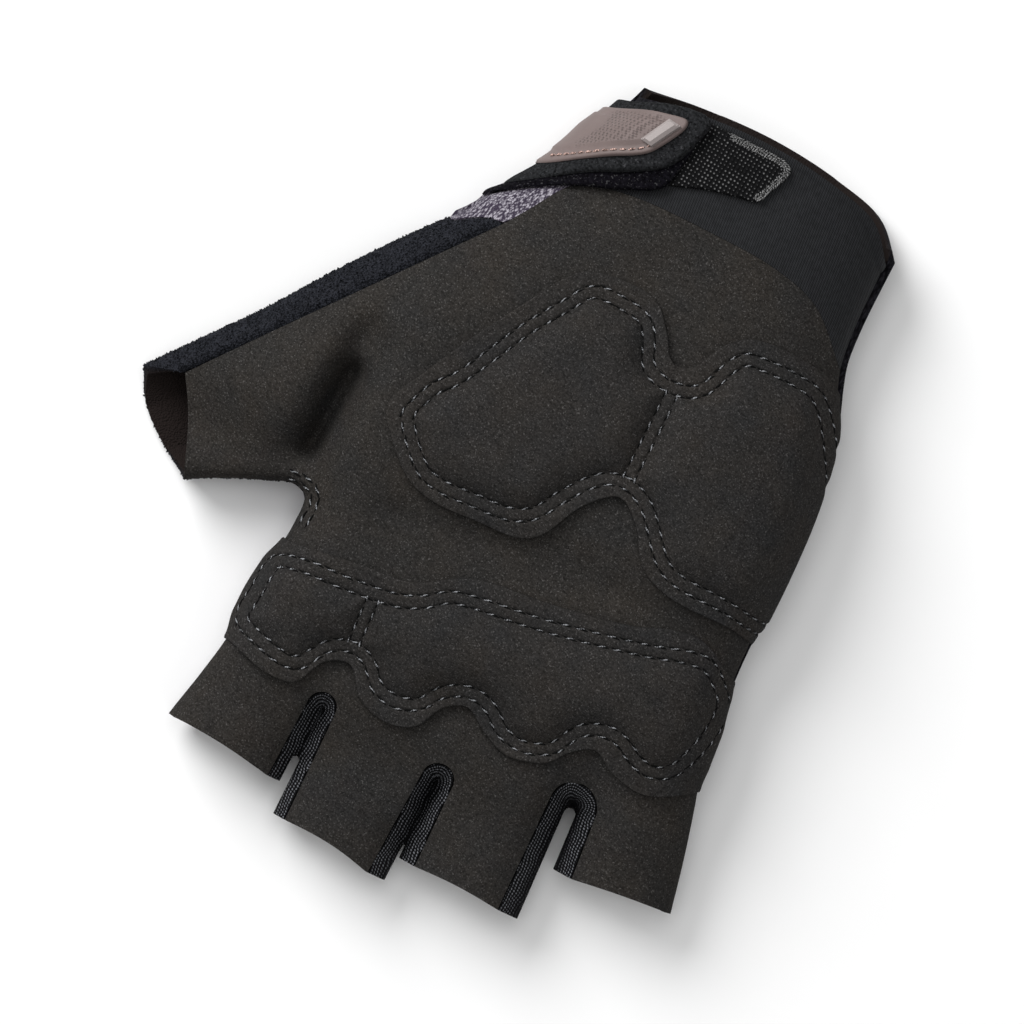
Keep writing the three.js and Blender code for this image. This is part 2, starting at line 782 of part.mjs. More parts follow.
const palmRoot = pinned(
  stretch(rootLine, crotch, radialCorner, even(palmGrid.rootRows)),
  indexCrotch,
  rimCorner,
);
const palmLeft = joined(
  pinned(stretch(index, palmCrotchRow[0], crotch, even(palmGrid.sideRows)), palmCrotchRow[0], indexCrotch),
  palmRoot,
  stretch(palmRim, rimCorner, rimCuff, even(palmGrid.endRows)),
);
const palmRows = palmLeft.length - 1;
const palmRight = pinned(
  stretch(ulnar, palmCrotchRow[palmColumns], ulnarCuff, even(palmRows)),
  palmCrotchRow[palmColumns],
  ulnarCuff,
);
const palmTop = pinned(stretch(palmRim, rimCuff, rimUlnar, crowdedEnd(palmColumns)), rimCuff, ulnarCuff);
const palmBody = patch(palmCrotchRow, palmRight, palmTop, palmLeft, 1);

// Palm side of the thumb, from its hem to the palm
const thumbRim = pinned(
  stretch(palmRim, spot(terrySeam[0]), rimCorner, even(thumbColumns)),
  nearestOn(palmRim, spot(terrySeam[0])),
  rimCorner,
);
const innerCorner = nearestOn(index, spot(lastOf(thumbHemNear)));
const thumbInner = pinned(stretch(index, innerCorner, crotch, even(thumbColumns)), innerCorner, indexCrotch);
const thumbNear = pinned(
  stretch(nearHemLine, innerCorner, thumbRim[0], crowdedStart(palmGrid.rootRows)),
  innerCorner,
  thumbRim[0],
);
const thumbPalm = patch(thumbNear, thumbRim, palmRoot, thumbInner, 1);
const palmGrids = [palmBody, thumbPalm, ...fingerPatches(1, palmCrotchRow, palmGrid.fingerColumns)];

// Back of the hand
const backColumns = backGrid.fingerColumns * (fingerGaps.length + 1);
const backCrotchRow = crotchRow(backGrid.fingerColumns);
const radialMesh = nearestOn(radial, spot(lastOf(meshSeam)));
const radialWrist = nearestOn(radial, spot(wristHem[0]));
const ulnarWrist = nearestOn(ulnar, spot(lastOf(wristHem)));
const farHemWrist = aside(hemLine, wristOverhang);
const rootBack = aside(rootBackLine, -halfGap);
const rootBackEdge = stretch(rootBack, crotch, radialMesh, even(backGrid.rootRows));
const wristEdge = stretch(radial, rootBackEdge[backGrid.rootRows], radialWrist, even(backGrid.endRows));
const backLeft = joined(
  pinned(
    stretch(index, backCrotchRow[0], crotch, even(backGrid.sideRows)),
    backCrotchRow[0],
    rootBackEdge[0],
  ),
  rootBackEdge,
  wristEdge,
);
const backRows = backLeft.length - 1;
const backRight = pinned(
  stretch(ulnar, backCrotchRow[backColumns], ulnarWrist, even(backRows)),
  backCrotchRow[backColumns],
  ulnarWrist,
);
const backTop = pinned(
  stretch(farHemWrist, radialWrist, ulnarWrist, crowdedBoth(backColumns)),
  backLeft[backRows],
  ulnarWrist,
);
const backBody = patch(backCrotchRow, backRight, backTop, backLeft, -1);

// Mesh that wraps to the palm side below and under the strap
const stripOuter = joined(suedeLine, cuffEndLine);
const stripRim = aside(stripOuter, halfGap);
const stripLow = aside(meshLine, -halfGap);
const stripCorner = moved(nearestOn(stripRim, radialCorner), -halfGap, halfGap);
const stripLeft = wristEdge.map((p) => p.clone());
const stripBottom = pinned(
  stretch(stripLow, spot(lastOf(meshSeam)), radialCorner, crowdedStart(stripColumns)),
  stripLeft[0],
  stripCorner,
);
const stripEnd = nearestOn(stripRim, spot(lastOf(cuffEnd)));
const stripRight = pinned(
  stretch(stripRim, radialCorner, spot(lastOf(cuffEnd)), even(backGrid.endRows)),
  stripCorner,
  stripEnd,
);
const stripTop = pinned(
  stretch(hemLine, radialWrist, stripEnd, crowdedStart(stripColumns)),
  stripLeft[backGrid.endRows],
  stripEnd,
);
const meshStrip = patch(stripBottom, stripRight, stripTop, stripLeft, 1);
const backFingers = fingerPatches(-1, backCrotchRow, backGrid.fingerColumns);
const backGrids = [backBody, ...backFingers, bridge(wristEdge), meshStrip];

// Thumb panel of terry: a strip on the palm side and the whole back of the thumb
const terryRim = aside(terryLine, halfGap);
const terryLow = nearestOn(radial, spot(thumbHemFar[0]));
const terryHigh = aside(meshLine, halfGap);
const rootFar = aside(rootBackLine, halfGap);
const rootFarEdge = stretch(rootFar, crotch, radialMesh, even(backGrid.rootRows));
const rootFarEnd = rootFarEdge[backGrid.rootRows];
const radialHigh = nearestOn(radial, rootFarEnd);
rootFarEdge[backGrid.rootRows] = radialHigh;
const innerFar = stretch(index, spot(lastOf(thumbHemFar)), rootFarEdge[0], even(thumbColumns));
rootFarEdge[0] = innerFar[thumbColumns];
const outerFar = pinned(stretch(radial, terryLow, radialHigh, even(thumbColumns)), terryLow, radialHigh);
const farHem = pinned(
  stretch(farHemLine, spot(lastOf(thumbHemFar)), terryLow, crowdedBoth(backGrid.rootRows)),
  innerFar[0],
  terryLow,
);
const thumbBackGrid = patch(farHem, outerFar, rootFarEdge, innerFar, -1);
const terryCorner = moved(nearestOn(terryRim, radialCorner), -halfGap, -halfGap);
const terryInner = pinned(
  stretch(terryRim, spot(terrySeam[0]), radialCorner, even(thumbColumns)),
  nearestOn(terryRim, spot(terrySeam[0])),
  terryCorner,
);
const terryFoot = crowdedStart(stripColumns).map((t) => terryLow.clone().lerp(terryInner[0], t));
const terryTop = pinned(
  stretch(terryHigh, radialHigh, terryCorner, crowdedStart(stripColumns)),
  radialHigh,
  terryCorner,
);
const terryStrip = patch(terryFoot, terryInner, terryTop, outerFar, 1);
const terryGrids = [thumbBackGrid, bridge(outerFar), terryStrip];

// Cuff on the palm side of the wrist
const cuffLow = aside(cuffLine, halfGap);
const cuffLeftLine = aside(cuffEndLine, -halfGap);
const cuffStart = moved(nearestOn(cuffLow, cuffCorner), halfGap, 0);
const cuffUlnarPoint = nearestOn(ulnar, cuffLow[curveSteps]);
const cuffHemStart = nearestOn(cuffLeftLine, spot(lastOf(cuffEnd)));
const cuffBottom = border(cuffLow, cuffStart, cuffUlnarPoint, crowdedEnd(cuffColumns));
const cuffRight = border(ulnar, cuffUlnarPoint, ulnarWrist, even(cuffRows));
const cuffTop = border(hemLine, cuffHemStart, ulnarWrist, crowdedEnd(cuffColumns));
const cuffLeft = border(cuffLeftLine, cuffStart, cuffHemStart, even(cuffRows));
const cuffGrid = patch(cuffBottom, cuffRight, cuffTop, cuffLeft, 1);
const cuffRise = ({ x, y }) => {
  const near = distanceTo(hemLine, x, y);
  return near < hemWidth ? hemFold : 0;
};

// Gussets: from the palm seam over the finger's side to the seam at the back
function gussetGrid(gapNumber) {
  const gap = fingerGaps[gapNumber];
  const rows = even(fingerRows);
  const hemOf = (side) => gap.hems[side < 0 ? 0 : 1] * gloveLength;
  const seamLine = (side) => seamSide(gapNumber, side, hemOf(side), rows, -halfGap);
  const slotLine = (side) => {
    const path = slots[gapNumber];
    const middle = Math.floor(path.length / 2);
    const branch = side < 0 ? path.slice(0, middle + 1) : path.slice(middle).reverse();
    const footY = hemOf(side);
    const i = branch.findIndex((p, n) => n > 0 && p.y > footY);
    const t = (footY - branch[i - 1].y) / (branch[i].y - branch[i - 1].y);
    const line = [branch[i - 1].clone().lerp(branch[i], t), ...branch.slice(i)];
    const lengths = lengthsOf(line);
    return rows.map((share) => pointAt(line, lengths, share * lengths[lengths.length - 1]));
  };
  const outer = joined(seamLine(-1), seamLine(1).reverse());
  const inner = joined(slotLine(-1), slotLine(1).reverse());
  const ribs = crowdedStart(gussetColumns).map((t) => inner.map((p, i) => p.clone().lerp(outer[i], t)));
  const back = ribs.slice().reverse().map((line) => line.map(({ x, y }) => ({ x, y, side: -1 })));
  const front = ribs.map((line) => line.map(({ x, y }) => ({ x, y, side: 1 })));
  return [...back, ...front];
}

// Padded patches lie on the palm and swell in two cells each
function padded(outline, divider, padding) {
  const path = outlineOf(outline);
  const rim = [...path, path[0]];
  const from = spotOf(divider.from);
  const to = spotOf(divider.to);
  const swell = ({ x, y }) => {
    if (!inside(path, x, y)) return 0;
    const toDivider = nearestOnSegment(x, y, from, to).distance - dividerHalfWidth;
    const depth = Math.min(distanceTo(rim, x, y) - patchHem, toDivider);
    return padding * THREE.MathUtils.smoothstep(depth, 0, paddingSlope);
  };
  const top = (at) => patchClearance + patchWall + swell(at);
  return cutTo(sheet(palmGrids, top, patchClearance), path);
}

// Fastening: hook patch on the cuff, and the strap's layers over it
const strapEdge = stretch(radial, spot(strapFoot), spot(wristHem[0]), even(strapRows));
const strapFarHigh = nearestOn(hemLine, spot(strapFar));
const strapFarLow = new THREE.Vector3(strapFarHigh.x, strapEdge[0].y, 0);
const strapTop = patch(
  crowdedStart(strapColumns).map((t) => strapEdge[0].clone().lerp(strapFarLow, t)),
  even(strapRows).map((t) => strapFarLow.clone().lerp(strapFarHigh, t)),
  pinned(
    stretch(hemLine, radialWrist, strapFarHigh, crowdedStart(strapColumns)),
    strapEdge[strapRows],
    strapFarHigh,
  ),
  strapEdge,
  1,
);
const strapTurn = crowdedEnd(tuckRows).map((t) => {
  return aside(strapEdge, -strapTuck * t).map(({ x, y }) => ({ x, y, side: -1 }));
});
const strapGrids = [strapTop, bridge(strapEdge), strapTurn];
const hookBase = patchClearance;
const underBase = hookBase + hookWall + seamGap;
const strapBase = underBase + strapUnderWall + seamGap;
const tabBase = strapBase + strapWall + seamGap;

// One flat layer of the fastening, cut to its outline
function layer(grids, base, wall, outline) {
  return cutTo(sheet(grids, base + wall, base), outlineOf(outline));
}

// Rubber tab: a thin stitched flange with a raised middle and a block at its free end
function pullTab() {
  const outline = outlineOf(tabOutline);
  const flange = solidOf(cutTo(sheet(strapGrids, tabBase + tabWall, tabBase), outline));
  const raised = solidOf(sheet(strapGrids, tabBase + tabWall + tabPlateau, tabBase));
  const middle = raised.intersect(prism(inset(outline, tabFlange)));
  const room = prism(inset(outlineOf(tipOutline), seamGap));
  return geometryOf(flange.add(middle).subtract(room));
}

function tabTip() {
  const block = sheet([strapTop], tabBase + tabWall + tabPlateau + tipRise, tabBase);
  return cutTo(block, outlineOf(tipOutline));
}

const pieces = [];

function addPiece(name, geometry, color, roughness) {
  const material = new THREE.MeshStandardMaterial({ color, roughness, metalness: 0 });
  const mesh = new THREE.Mesh(geometry, material);
  mesh.name = name;
  pieces.push(mesh);
}

addPiece('palm_panel', sheet(palmGrids, 0, -suedeWall), 0x1d1a17, 0.95);
addPiece('back_panel', sheet(backGrids, 0, -meshWall), 0x4a4058, 0.9);
addPiece('thumb_back', sheet(terryGrids, 0, -terryWall), 0x12151c, 1);
addPiece('cuff', sheet([cuffGrid], cuffRise, -neopreneWall), 0x14161b, 0.8);
fingerGaps.forEach((gap, i) => {
  addPiece(gap.name, sheet([gussetGrid(i)], 0, -gussetWall), 0x0e0f12, 0.85);
});
addPiece('heel_patch', padded(heelOutline, heelDivider, heelPadding), 0x1c1b1a, 0.95);
addPiece('knuckle_patch', padded(knuckleOutline, knuckleDivider, knucklePadding), 0x1c1b1a, 0.95);
addPiece('hook_patch', layer([strapTop], hookBase, hookWall, hookOutline), 0x0c0c0d, 0.9);
addPiece('strap_under', layer(strapGrids, underBase, strapUnderWall, strapUnderOutline), 0x0c0c0d, 1);
addPiece('strap', layer(strapGrids, strapBase, strapWall, strapOutline), 0x101012, 1);
addPiece('pull_tab', pullTab(), 0x6b5a57, 0.6);
addPiece('tab_tip', tabTip(), 0x8a807d, 0.6);

const group = new THREE.Group();
group.add(...pieces);

export default group;
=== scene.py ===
"""Short-finger cycling glove for the right hand, palm up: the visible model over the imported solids."""
import math

import bmesh
import bpy
import numpy as np
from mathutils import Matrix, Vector
from mathutils.geometry import delaunay_2d_cdt


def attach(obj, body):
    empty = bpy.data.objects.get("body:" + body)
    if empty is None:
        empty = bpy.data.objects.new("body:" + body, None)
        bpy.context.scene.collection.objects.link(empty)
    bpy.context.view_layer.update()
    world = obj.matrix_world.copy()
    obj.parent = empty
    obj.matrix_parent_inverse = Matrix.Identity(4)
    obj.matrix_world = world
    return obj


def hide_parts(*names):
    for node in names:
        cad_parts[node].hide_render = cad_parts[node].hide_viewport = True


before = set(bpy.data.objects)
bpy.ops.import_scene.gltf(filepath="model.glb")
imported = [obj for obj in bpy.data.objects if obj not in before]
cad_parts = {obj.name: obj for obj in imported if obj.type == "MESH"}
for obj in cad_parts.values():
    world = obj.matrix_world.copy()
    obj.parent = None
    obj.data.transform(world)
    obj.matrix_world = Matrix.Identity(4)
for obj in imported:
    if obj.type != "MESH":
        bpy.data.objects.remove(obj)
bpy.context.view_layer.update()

bl_info = {
    "name": "Cycling glove",
    "version": (1, 0, 0),
    "blender": (4, 5, 0),
    "location": "View3D > Sidebar > Glove",
    "description": "Builds a padded short-finger cycling glove piece by piece",
    "category": "Object",
}

mm = 0.001

# Driving sizes in millimetres, the same as the solids'
glove_length = 167.0
palm_width = 100.0
palm_half_height = 14.5
seam_gap = 0.3
half_gap = seam_gap / 2
rest_flattening = 1.0
patch_clearance = 0.4
hem_width = 3.0
strap_tuck = 2.5
wrist_overhang = 2.2

# Edges of the flat outline, each spot as (share of the palm's width, share of the glove's length)
ulnar_edge = [
    (0.640, -0.500), (0.596, -0.383), (0.567, -0.311), (0.545, -0.263), (0.518, -0.210),
    (0.508, -0.162), (0.496, -0.108), (0.490, -0.042), (0.488, 0.036), (0.481, 0.108),
    (0.467, 0.168), (0.446, 0.222), (0.418, 0.266), (0.402, 0.294), (0.392, 0.340), (0.388, 0.420),
    (0.385, 0.560),
]
radial_edge = [
    (-0.180, 0.560), (-0.200, 0.479), (-0.234, 0.425), (-0.280, 0.362), (-0.350, 0.308),
    (-0.386, 0.286), (-0.404, 0.262), (-0.460, 0.222), (-0.525, 0.173), (-0.600, 0.112),
    (-0.680, 0.043), (-0.760, -0.018), (-0.846, -0.084), (-0.960, -0.170),
]
index_edge = [
    (-0.800, -0.245), (-0.668, -0.184), (-0.595, -0.160), (-0.520, -0.140), (-0.470, -0.129),
    (-0.438, -0.136), (-0.432, -0.172), (-0.438, -0.216), (-0.446, -0.263), (-0.447, -0.323),
    (-0.463, -0.383), (-0.482, -0.438), (-0.505, -0.520),
]
terry_seam = [
    (-0.762, -0.070), (-0.650, 0.016), (-0.550, 0.092), (-0.450, 0.168), (-0.326, 0.263),
]
suede_edge = [
    (-0.326, 0.263), (-0.292, 0.294), (-0.258, 0.328), (-0.230, 0.347),
]
cuff_seam = [
    (-0.230, 0.347), (-0.120, 0.360), (0.050, 0.363), (0.200, 0.359), (0.300, 0.342),
    (0.400, 0.290),
]
cuff_end = [
    (-0.230, 0.347), (-0.170, 0.410), (-0.150, 0.477),
]
wrist_hem = [
    (-0.199, 0.472), (-0.080, 0.484), (0.080, 0.489), (0.230, 0.480), (0.330, 0.463),
    (0.388, 0.425),
]
mesh_seam = [
    (-0.326, 0.263), (-0.372, 0.257), (-0.426, 0.238),
]
thumb_root = [
    (-0.470, -0.129), (-0.455, -0.036), (-0.430, 0.072), (-0.385, 0.180), (-0.326, 0.263),
]
thumb_root_back = [
    (-0.470, -0.129), (-0.440, 0.000), (-0.420, 0.120), (-0.426, 0.238),
]
thumb_hem_near = [
    (-0.762, -0.070), (-0.720, -0.112), (-0.668, -0.184),
]
thumb_hem_far = [
    (-0.846, -0.084), (-0.815, -0.119), (-0.750, -0.154), (-0.668, -0.184),
]
heel_outline = [
    (-0.370, 0.005), (-0.330, 0.066), (-0.225, 0.182), (-0.150, 0.249), (-0.100, 0.262),
    (0.010, 0.262), (0.058, 0.235), (0.098, 0.205), (0.135, 0.210), (0.172, 0.250), (0.215, 0.272),
    (0.330, 0.277), (0.410, 0.266), (0.520, 0.210), (0.560, 0.080), (0.545, -0.047),
    (0.425, -0.046), (0.300, -0.045), (0.230, -0.030), (0.175, 0.013), (0.125, 0.032),
    (0.070, 0.005), (0.020, -0.048), (-0.020, -0.063), (-0.100, -0.067), (-0.210, -0.070),
    (-0.270, -0.059), (-0.335, -0.026),
]
knuckle_outline = [
    (-0.500, -0.330), (-0.500, -0.200), (-0.400, -0.191), (-0.280, -0.178), (-0.170, -0.169),
    (-0.060, -0.132), (0.100, -0.117), (0.250, -0.098), (0.390, -0.073), (0.460, -0.092),
    (0.540, -0.120), (0.560, -0.220), (0.500, -0.250), (0.430, -0.270), (0.360, -0.262),
    (0.310, -0.247), (0.270, -0.262), (0.230, -0.290), (0.155, -0.303), (0.095, -0.289),
    (0.045, -0.271), (0.005, -0.284), (-0.030, -0.320), (-0.090, -0.331), (-0.155, -0.320),
    (-0.205, -0.290), (-0.250, -0.302), (-0.285, -0.337), (-0.340, -0.343), (-0.430, -0.332),
]
hook_outline = [
    (-0.200, 0.368), (-0.080, 0.388), (0.000, 0.406), (0.060, 0.415), (0.104, 0.422),
    (0.118, 0.440), (0.134, 0.470), (0.125, 0.478), (0.050, 0.481), (-0.080, 0.478),
    (-0.160, 0.466),
]
strap_outline = [
    (-0.460, 0.270), (-0.384, 0.302), (-0.300, 0.335), (-0.225, 0.364), (-0.150, 0.386),
    (-0.098, 0.406), (-0.074, 0.424), (-0.055, 0.460), (-0.050, 0.477), (-0.070, 0.486),
    (-0.140, 0.480), (-0.220, 0.462), (-0.290, 0.452), (-0.460, 0.420),
]
strap_under_outline = [
    (-0.460, 0.258), (-0.380, 0.292), (-0.300, 0.323), (-0.228, 0.344), (-0.150, 0.362),
    (-0.080, 0.385), (-0.062, 0.420), (-0.060, 0.460), (-0.070, 0.476), (-0.140, 0.470),
    (-0.220, 0.455), (-0.290, 0.445), (-0.460, 0.410),
]
tab_outline = [
    (-0.400, 0.335), (-0.335, 0.345), (-0.250, 0.374), (-0.200, 0.392), (-0.140, 0.413),
    (-0.118, 0.430), (-0.092, 0.462), (-0.096, 0.470), (-0.150, 0.465), (-0.240, 0.446),
    (-0.285, 0.436), (-0.360, 0.420),
]
tip_outline = [
    (-0.130, 0.462), (-0.104, 0.460), (-0.138, 0.423), (-0.163, 0.425),
]
heel_row = [
    (-0.327, 0.0299), (-0.310, 0.0539), (-0.280, 0.0754), (-0.200, 0.1677), (-0.150, 0.2144),
    (-0.125, 0.2365), (-0.100, 0.2455), (-0.040, 0.2467), (0.004, 0.2431), (0.027, 0.2347),
    (0.046, 0.2174), (0.068, 0.1928), (0.100, 0.1856), (0.140, 0.1874), (0.165, 0.1964),
    (0.193, 0.2347), (0.213, 0.2515), (0.250, 0.2569), (0.330, 0.2581), (0.375, 0.2539),
    (0.410, 0.2383), (0.465, 0.1916), (0.508, 0.1377), (0.530, 0.0479), (0.530, -0.0240),
    (0.500, -0.0359), (0.400, -0.0323), (0.290, -0.0293), (0.250, -0.0180), (0.180, 0.0287),
    (0.155, 0.0389), (0.126, 0.0443), (0.096, 0.0413), (0.065, 0.0263), (0.030, -0.0030),
    (-0.003, -0.0329), (-0.050, -0.0485), (-0.130, -0.0539), (-0.210, -0.0563), (-0.255, -0.0485),
    (-0.325, -0.0078), (-0.337, 0.0072),
]
knuckle_row = [
    (-0.415, -0.2114), (-0.360, -0.2012), (-0.275, -0.1964), (-0.175, -0.1874), (-0.130, -0.1754),
    (-0.090, -0.1575), (-0.040, -0.1497), (0.100, -0.1365), (0.300, -0.1078), (0.395, -0.0910),
    (0.432, -0.0910), (0.475, -0.1090), (0.496, -0.1257), (0.503, -0.1557), (0.490, -0.2036),
    (0.463, -0.2365), (0.420, -0.2473), (0.380, -0.2407), (0.340, -0.2287), (0.310, -0.2281),
    (0.275, -0.2383), (0.245, -0.2695), (0.215, -0.2826), (0.170, -0.2904), (0.120, -0.2832),
    (0.085, -0.2659), (0.055, -0.2593), (0.025, -0.2617), (-0.005, -0.2731), (-0.035, -0.2994),
    (-0.070, -0.3096), (-0.105, -0.3114), (-0.145, -0.3030), (-0.175, -0.2832), (-0.205, -0.2754),
    (-0.233, -0.2796), (-0.256, -0.2910), (-0.282, -0.3174), (-0.320, -0.3257), (-0.390, -0.3180),
    (-0.430, -0.3090), (-0.440, -0.2934), (-0.436, -0.2575), (-0.430, -0.2216),
]
tab_dots_outline = [
    (-0.134, 0.4615), (-0.163, 0.426), (-0.220, 0.405), (-0.277, 0.383), (-0.262, 0.400),
    (-0.240, 0.424), (-0.236, 0.441), (-0.190, 0.452),
]
crotch_stitches = [
    (-0.478, -0.116), (-0.450, -0.115), (-0.428, -0.120), (-0.410, -0.127), (-0.405, -0.140),
    (-0.405, -0.160),
]
heel_divider = ((0.124, 0.200), (0.124, 0.035))
knuckle_divider = ((-0.223, -0.175), (-0.213, -0.290))
index_corner = (-0.484, -0.443)
index_base = (-0.447, -0.334)
little_base = (0.567, -0.283)
little_corner = (0.597, -0.384)
hem_bows = (0.004, 0.005, 0.003, 0.002)

# Slots between the fingers
finger_gaps = [
    dict(name="gusset_index_middle", across=-0.2150, along=-0.334, slot=-0.419, width=0.016,
         lean=0.000, seam=0.0290, hems=(-0.455, -0.493)),
    dict(name="gusset_middle_ring", across=0.0570, along=-0.347, slot=-0.455, width=0.005,
         lean=0.000, seam=0.0320, hems=(-0.504, -0.472)),
    dict(name="gusset_ring_little", across=0.3200, along=-0.293, slot=-0.325, width=0.024,
         lean=-0.117, seam=0.0480, hems=(-0.473, -0.400)),
]
slot_flare = 1.3
past_fingertips = -0.56

# Half height of the hollow form and how far each side rolls over:
# share of the length, height, roll of the thumb side, roll of the little-finger side
sections = np.array([
    (-0.500, 0.56, 0.12, 0.13),
    (-0.400, 0.60, 0.12, 0.13),
    (-0.300, 0.74, 0.13, 0.17),
    (-0.180, 0.90, 0.14, 0.24),
    (0.000, 1.00, 0.17, 0.29),
    (0.200, 1.00, 0.24, 0.29),
    (0.350, 0.92, 0.25, 0.27),
    (0.500, 0.90, 0.25, 0.27),
])
index_roll = 0.125
slot_roll = 0.12
thumb_taper = dict(start=0.38, end=0.84, loss=0.36)

# Valleys of the palm side: from, to, half width as a share of the palm's width, depth as a share
# of its half height. The first five are in the solids, and the rest are small folds of the cloth.
dents = [
    ((-0.475, 0.075), (-0.465, -0.085), 0.045, 0.16),
    ((-0.240, -0.105), (0.120, -0.075), 0.060, 0.10),
    ((0.200, -0.066), (0.450, -0.068), 0.030, 0.07),
    ((-0.215, -0.360), (-0.208, -0.415), 0.022, 0.42),
    ((0.057, -0.375), (0.057, -0.450), 0.020, 0.48),
    ((-0.456, 0.052), (-0.478, -0.105), 0.056, 0.260),
    ((-0.463, 0.020), (-0.474, -0.078), 0.028, 0.420),
    ((-0.470, -0.060), (-0.440, -0.105), 0.014, 0.040),
    ((-0.300, -0.112), (-0.050, -0.086), 0.016, 0.018),
    ((0.150, -0.072), (0.430, -0.082), 0.014, 0.018),
    ((-0.420, 0.050), (-0.380, 0.150), 0.018, 0.014),
    ((-0.560, 0.040), (-0.520, -0.060), 0.018, 0.012),
    ((-0.740, -0.115), (-0.500, -0.140), 0.100, 0.460),
    ((-0.390, 0.235), (-0.480, 0.060), 0.020, 0.030),
]


# Plain curves in the flat outline, in millimetres

curve_steps = 240
steps_per_span = 24
near_enough = 0.5
slope_step = 0.3
height_step = 0.05
points_at_once = 4000


def spot(row):
    return np.array([row[0] * palm_width, row[1] * glove_length])


def smooth_path(rows, count=curve_steps, closed=False):
    """Evenly spaced points on a centripetal curve through the rows."""
    points = np.array([spot(row) for row in rows])
    if closed:
        chain = np.vstack([points[-1], points, points[0], points[1]])
    else:
        chain = np.vstack([2 * points[0] - points[1], points, 2 * points[-1] - points[-2]])
    shares = np.linspace(0, 1, steps_per_span, endpoint=False)[:, None]
    dense = []
    for p0, p1, p2, p3 in zip(chain, chain[1:], chain[2:], chain[3:]):
        k0, k1, k2 = (math.sqrt(math.dist(a, b)) for a, b in ((p0, p1), (p1, p2), (p2, p3)))
        start = ((p1 - p0) / k0 - (p2 - p0) / (k0 + k1) + (p2 - p1) / k1) * k1
        end = ((p2 - p1) / k1 - (p3 - p1) / (k1 + k2) + (p3 - p2) / k2) * k1
        bend = 3 * (p2 - p1) - 2 * start - end
        twist = 2 * (p1 - p2) + start + end
        dense.append(p1 + start * shares + bend * shares ** 2 + twist * shares ** 3)
    dense = np.vstack(dense + [points[:1] if closed else points[-1:]])
    return spaced(dense, count)


def lengths_of(path):
    return np.concatenate([[0], np.cumsum(np.hypot(*np.diff(path, axis=0).T))])


def point_at(path, lengths, where):
    return np.stack([np.interp(where, lengths, path[:, k]) for k in (0, 1)], axis=-1)


def spaced(path, count):
    lengths = lengths_of(path)
    return point_at(path, lengths, np.linspace(0, lengths[-1], count + 1))


def nearest(path, xy):
    """Nearest place on a path for each point: the length along it, the place and the left side."""
    xy = np.atleast_2d(xy)
    a = path[:-1]
    run = np.diff(path, axis=0)
    span = np.maximum((run ** 2).sum(1), 1e-12)
    best = np.full(len(xy), np.inf)
    at = np.zeros(len(xy))
    place = np.zeros((len(xy), 2))
    side = np.ones(len(xy))
    lengths = lengths_of(path)
    for first in range(0, len(xy), points_at_once):
        chunk = slice(first, first + points_at_once)
        part = xy[chunk]
        away = part[:, None] - a[None]
        t = np.clip((away * run).sum(2) / span, 0, 1)
        rest = away - t[..., None] * run
        pick = (rest ** 2).sum(2).argmin(1)
        rows = np.arange(len(part))
        chosen = rest[rows, pick]
        best[chunk] = np.hypot(*chosen.T)
        place[chunk] = part - chosen
        at[chunk] = lengths[pick] + t[rows, pick] * np.sqrt(span[pick])
        turn = run[pick, 0] * away[rows, pick, 1] - run[pick, 1] * away[rows, pick, 0]
        side[chunk] = np.where(turn < 0, -1, 1)
    return dict(distance=best, at=at, place=place, side=side)


def depth_inside(path, xy):
    """Distance into the cloth, which lies to the left of every edge path, and its slope."""
    near = nearest(path, xy)
    depth = near["distance"] * near["side"]
    away = (xy - near["place"]) * near["side"][:, None]
    lengths = lengths_of(path)
    ahead = point_at(path, lengths, np.minimum(near["at"] + slope_step, lengths[-1]))
    behind = point_at(path, lengths, np.maximum(near["at"] - slope_step, 0))
    along = (ahead - behind) / np.maximum(np.hypot(*(ahead - behind).T), 1e-9)[:, None]
    left = np.stack([-along[:, 1], along[:, 0]], 1)
    far = near["distance"] > near_enough
    slope = np.where(far[:, None], away / np.maximum(near["distance"], 1e-9)[:, None], left)
    return depth, slope


def distance_to(path, xy):
    return nearest(path, xy)["distance"]


def stretch(path, start, end, shares):
    lengths = lengths_of(path)
    first, last = nearest(path, start)["at"][0], nearest(path, end)["at"][0]
    return point_at(path, lengths, first + (last - first) * np.asarray(shares))


def nearest_on(path, point):
    return nearest(path, point)["place"][0]


def aside(path, amount):
    """The path moved to its left by an amount."""
    ahead = np.vstack([path[1:], path[-1:]])
    behind = np.vstack([path[:1], path[:-1]])
    along = ahead - behind
    along /= np.maximum(np.hypot(*along.T), 1e-9)[:, None]
    return path + amount * np.stack([-along[:, 1], along[:, 0]], 1)


def even(count):
    return np.linspace(0, 1, count + 1)


def crowded_both(count):
    return (1 - np.cos(np.pi * even(count))) / 2


def crowded_start(count):
    return 1 - np.cos(np.pi * even(count) / 2)


def crowded_end(count):
    return np.sin(np.pi * even(count) / 2)


def joined(*paths):
    return np.vstack([paths[0]] + [path[1:] for path in paths[1:]])


def pinned(path, first, last):
    copy = path.copy()
    copy[0], copy[-1] = first, last
    return copy


def fixed_stretch(path, start, end, shares):
    return pinned(stretch(path, start, end, shares), start, end)


def smoothstep(value, low, high):
    t = np.clip((value - low) / (high - low), 0, 1)
    return t * t * (3 - 2 * t)


def inside(ring, xy):
    """Which points lie inside a closed ring."""
    odd = np.zeros(len(xy), bool)
    for a, b in zip(ring, np.roll(ring, -1, axis=0)):
        crosses = (a[1] > xy[:, 1]) != (b[1] > xy[:, 1])
        if a[1] != b[1]:
            reach = a[0] + (b[0] - a[0]) * (xy[:, 1] - a[1]) / (b[1] - a[1])
            odd ^= crosses & (xy[:, 0] < reach)
    return odd


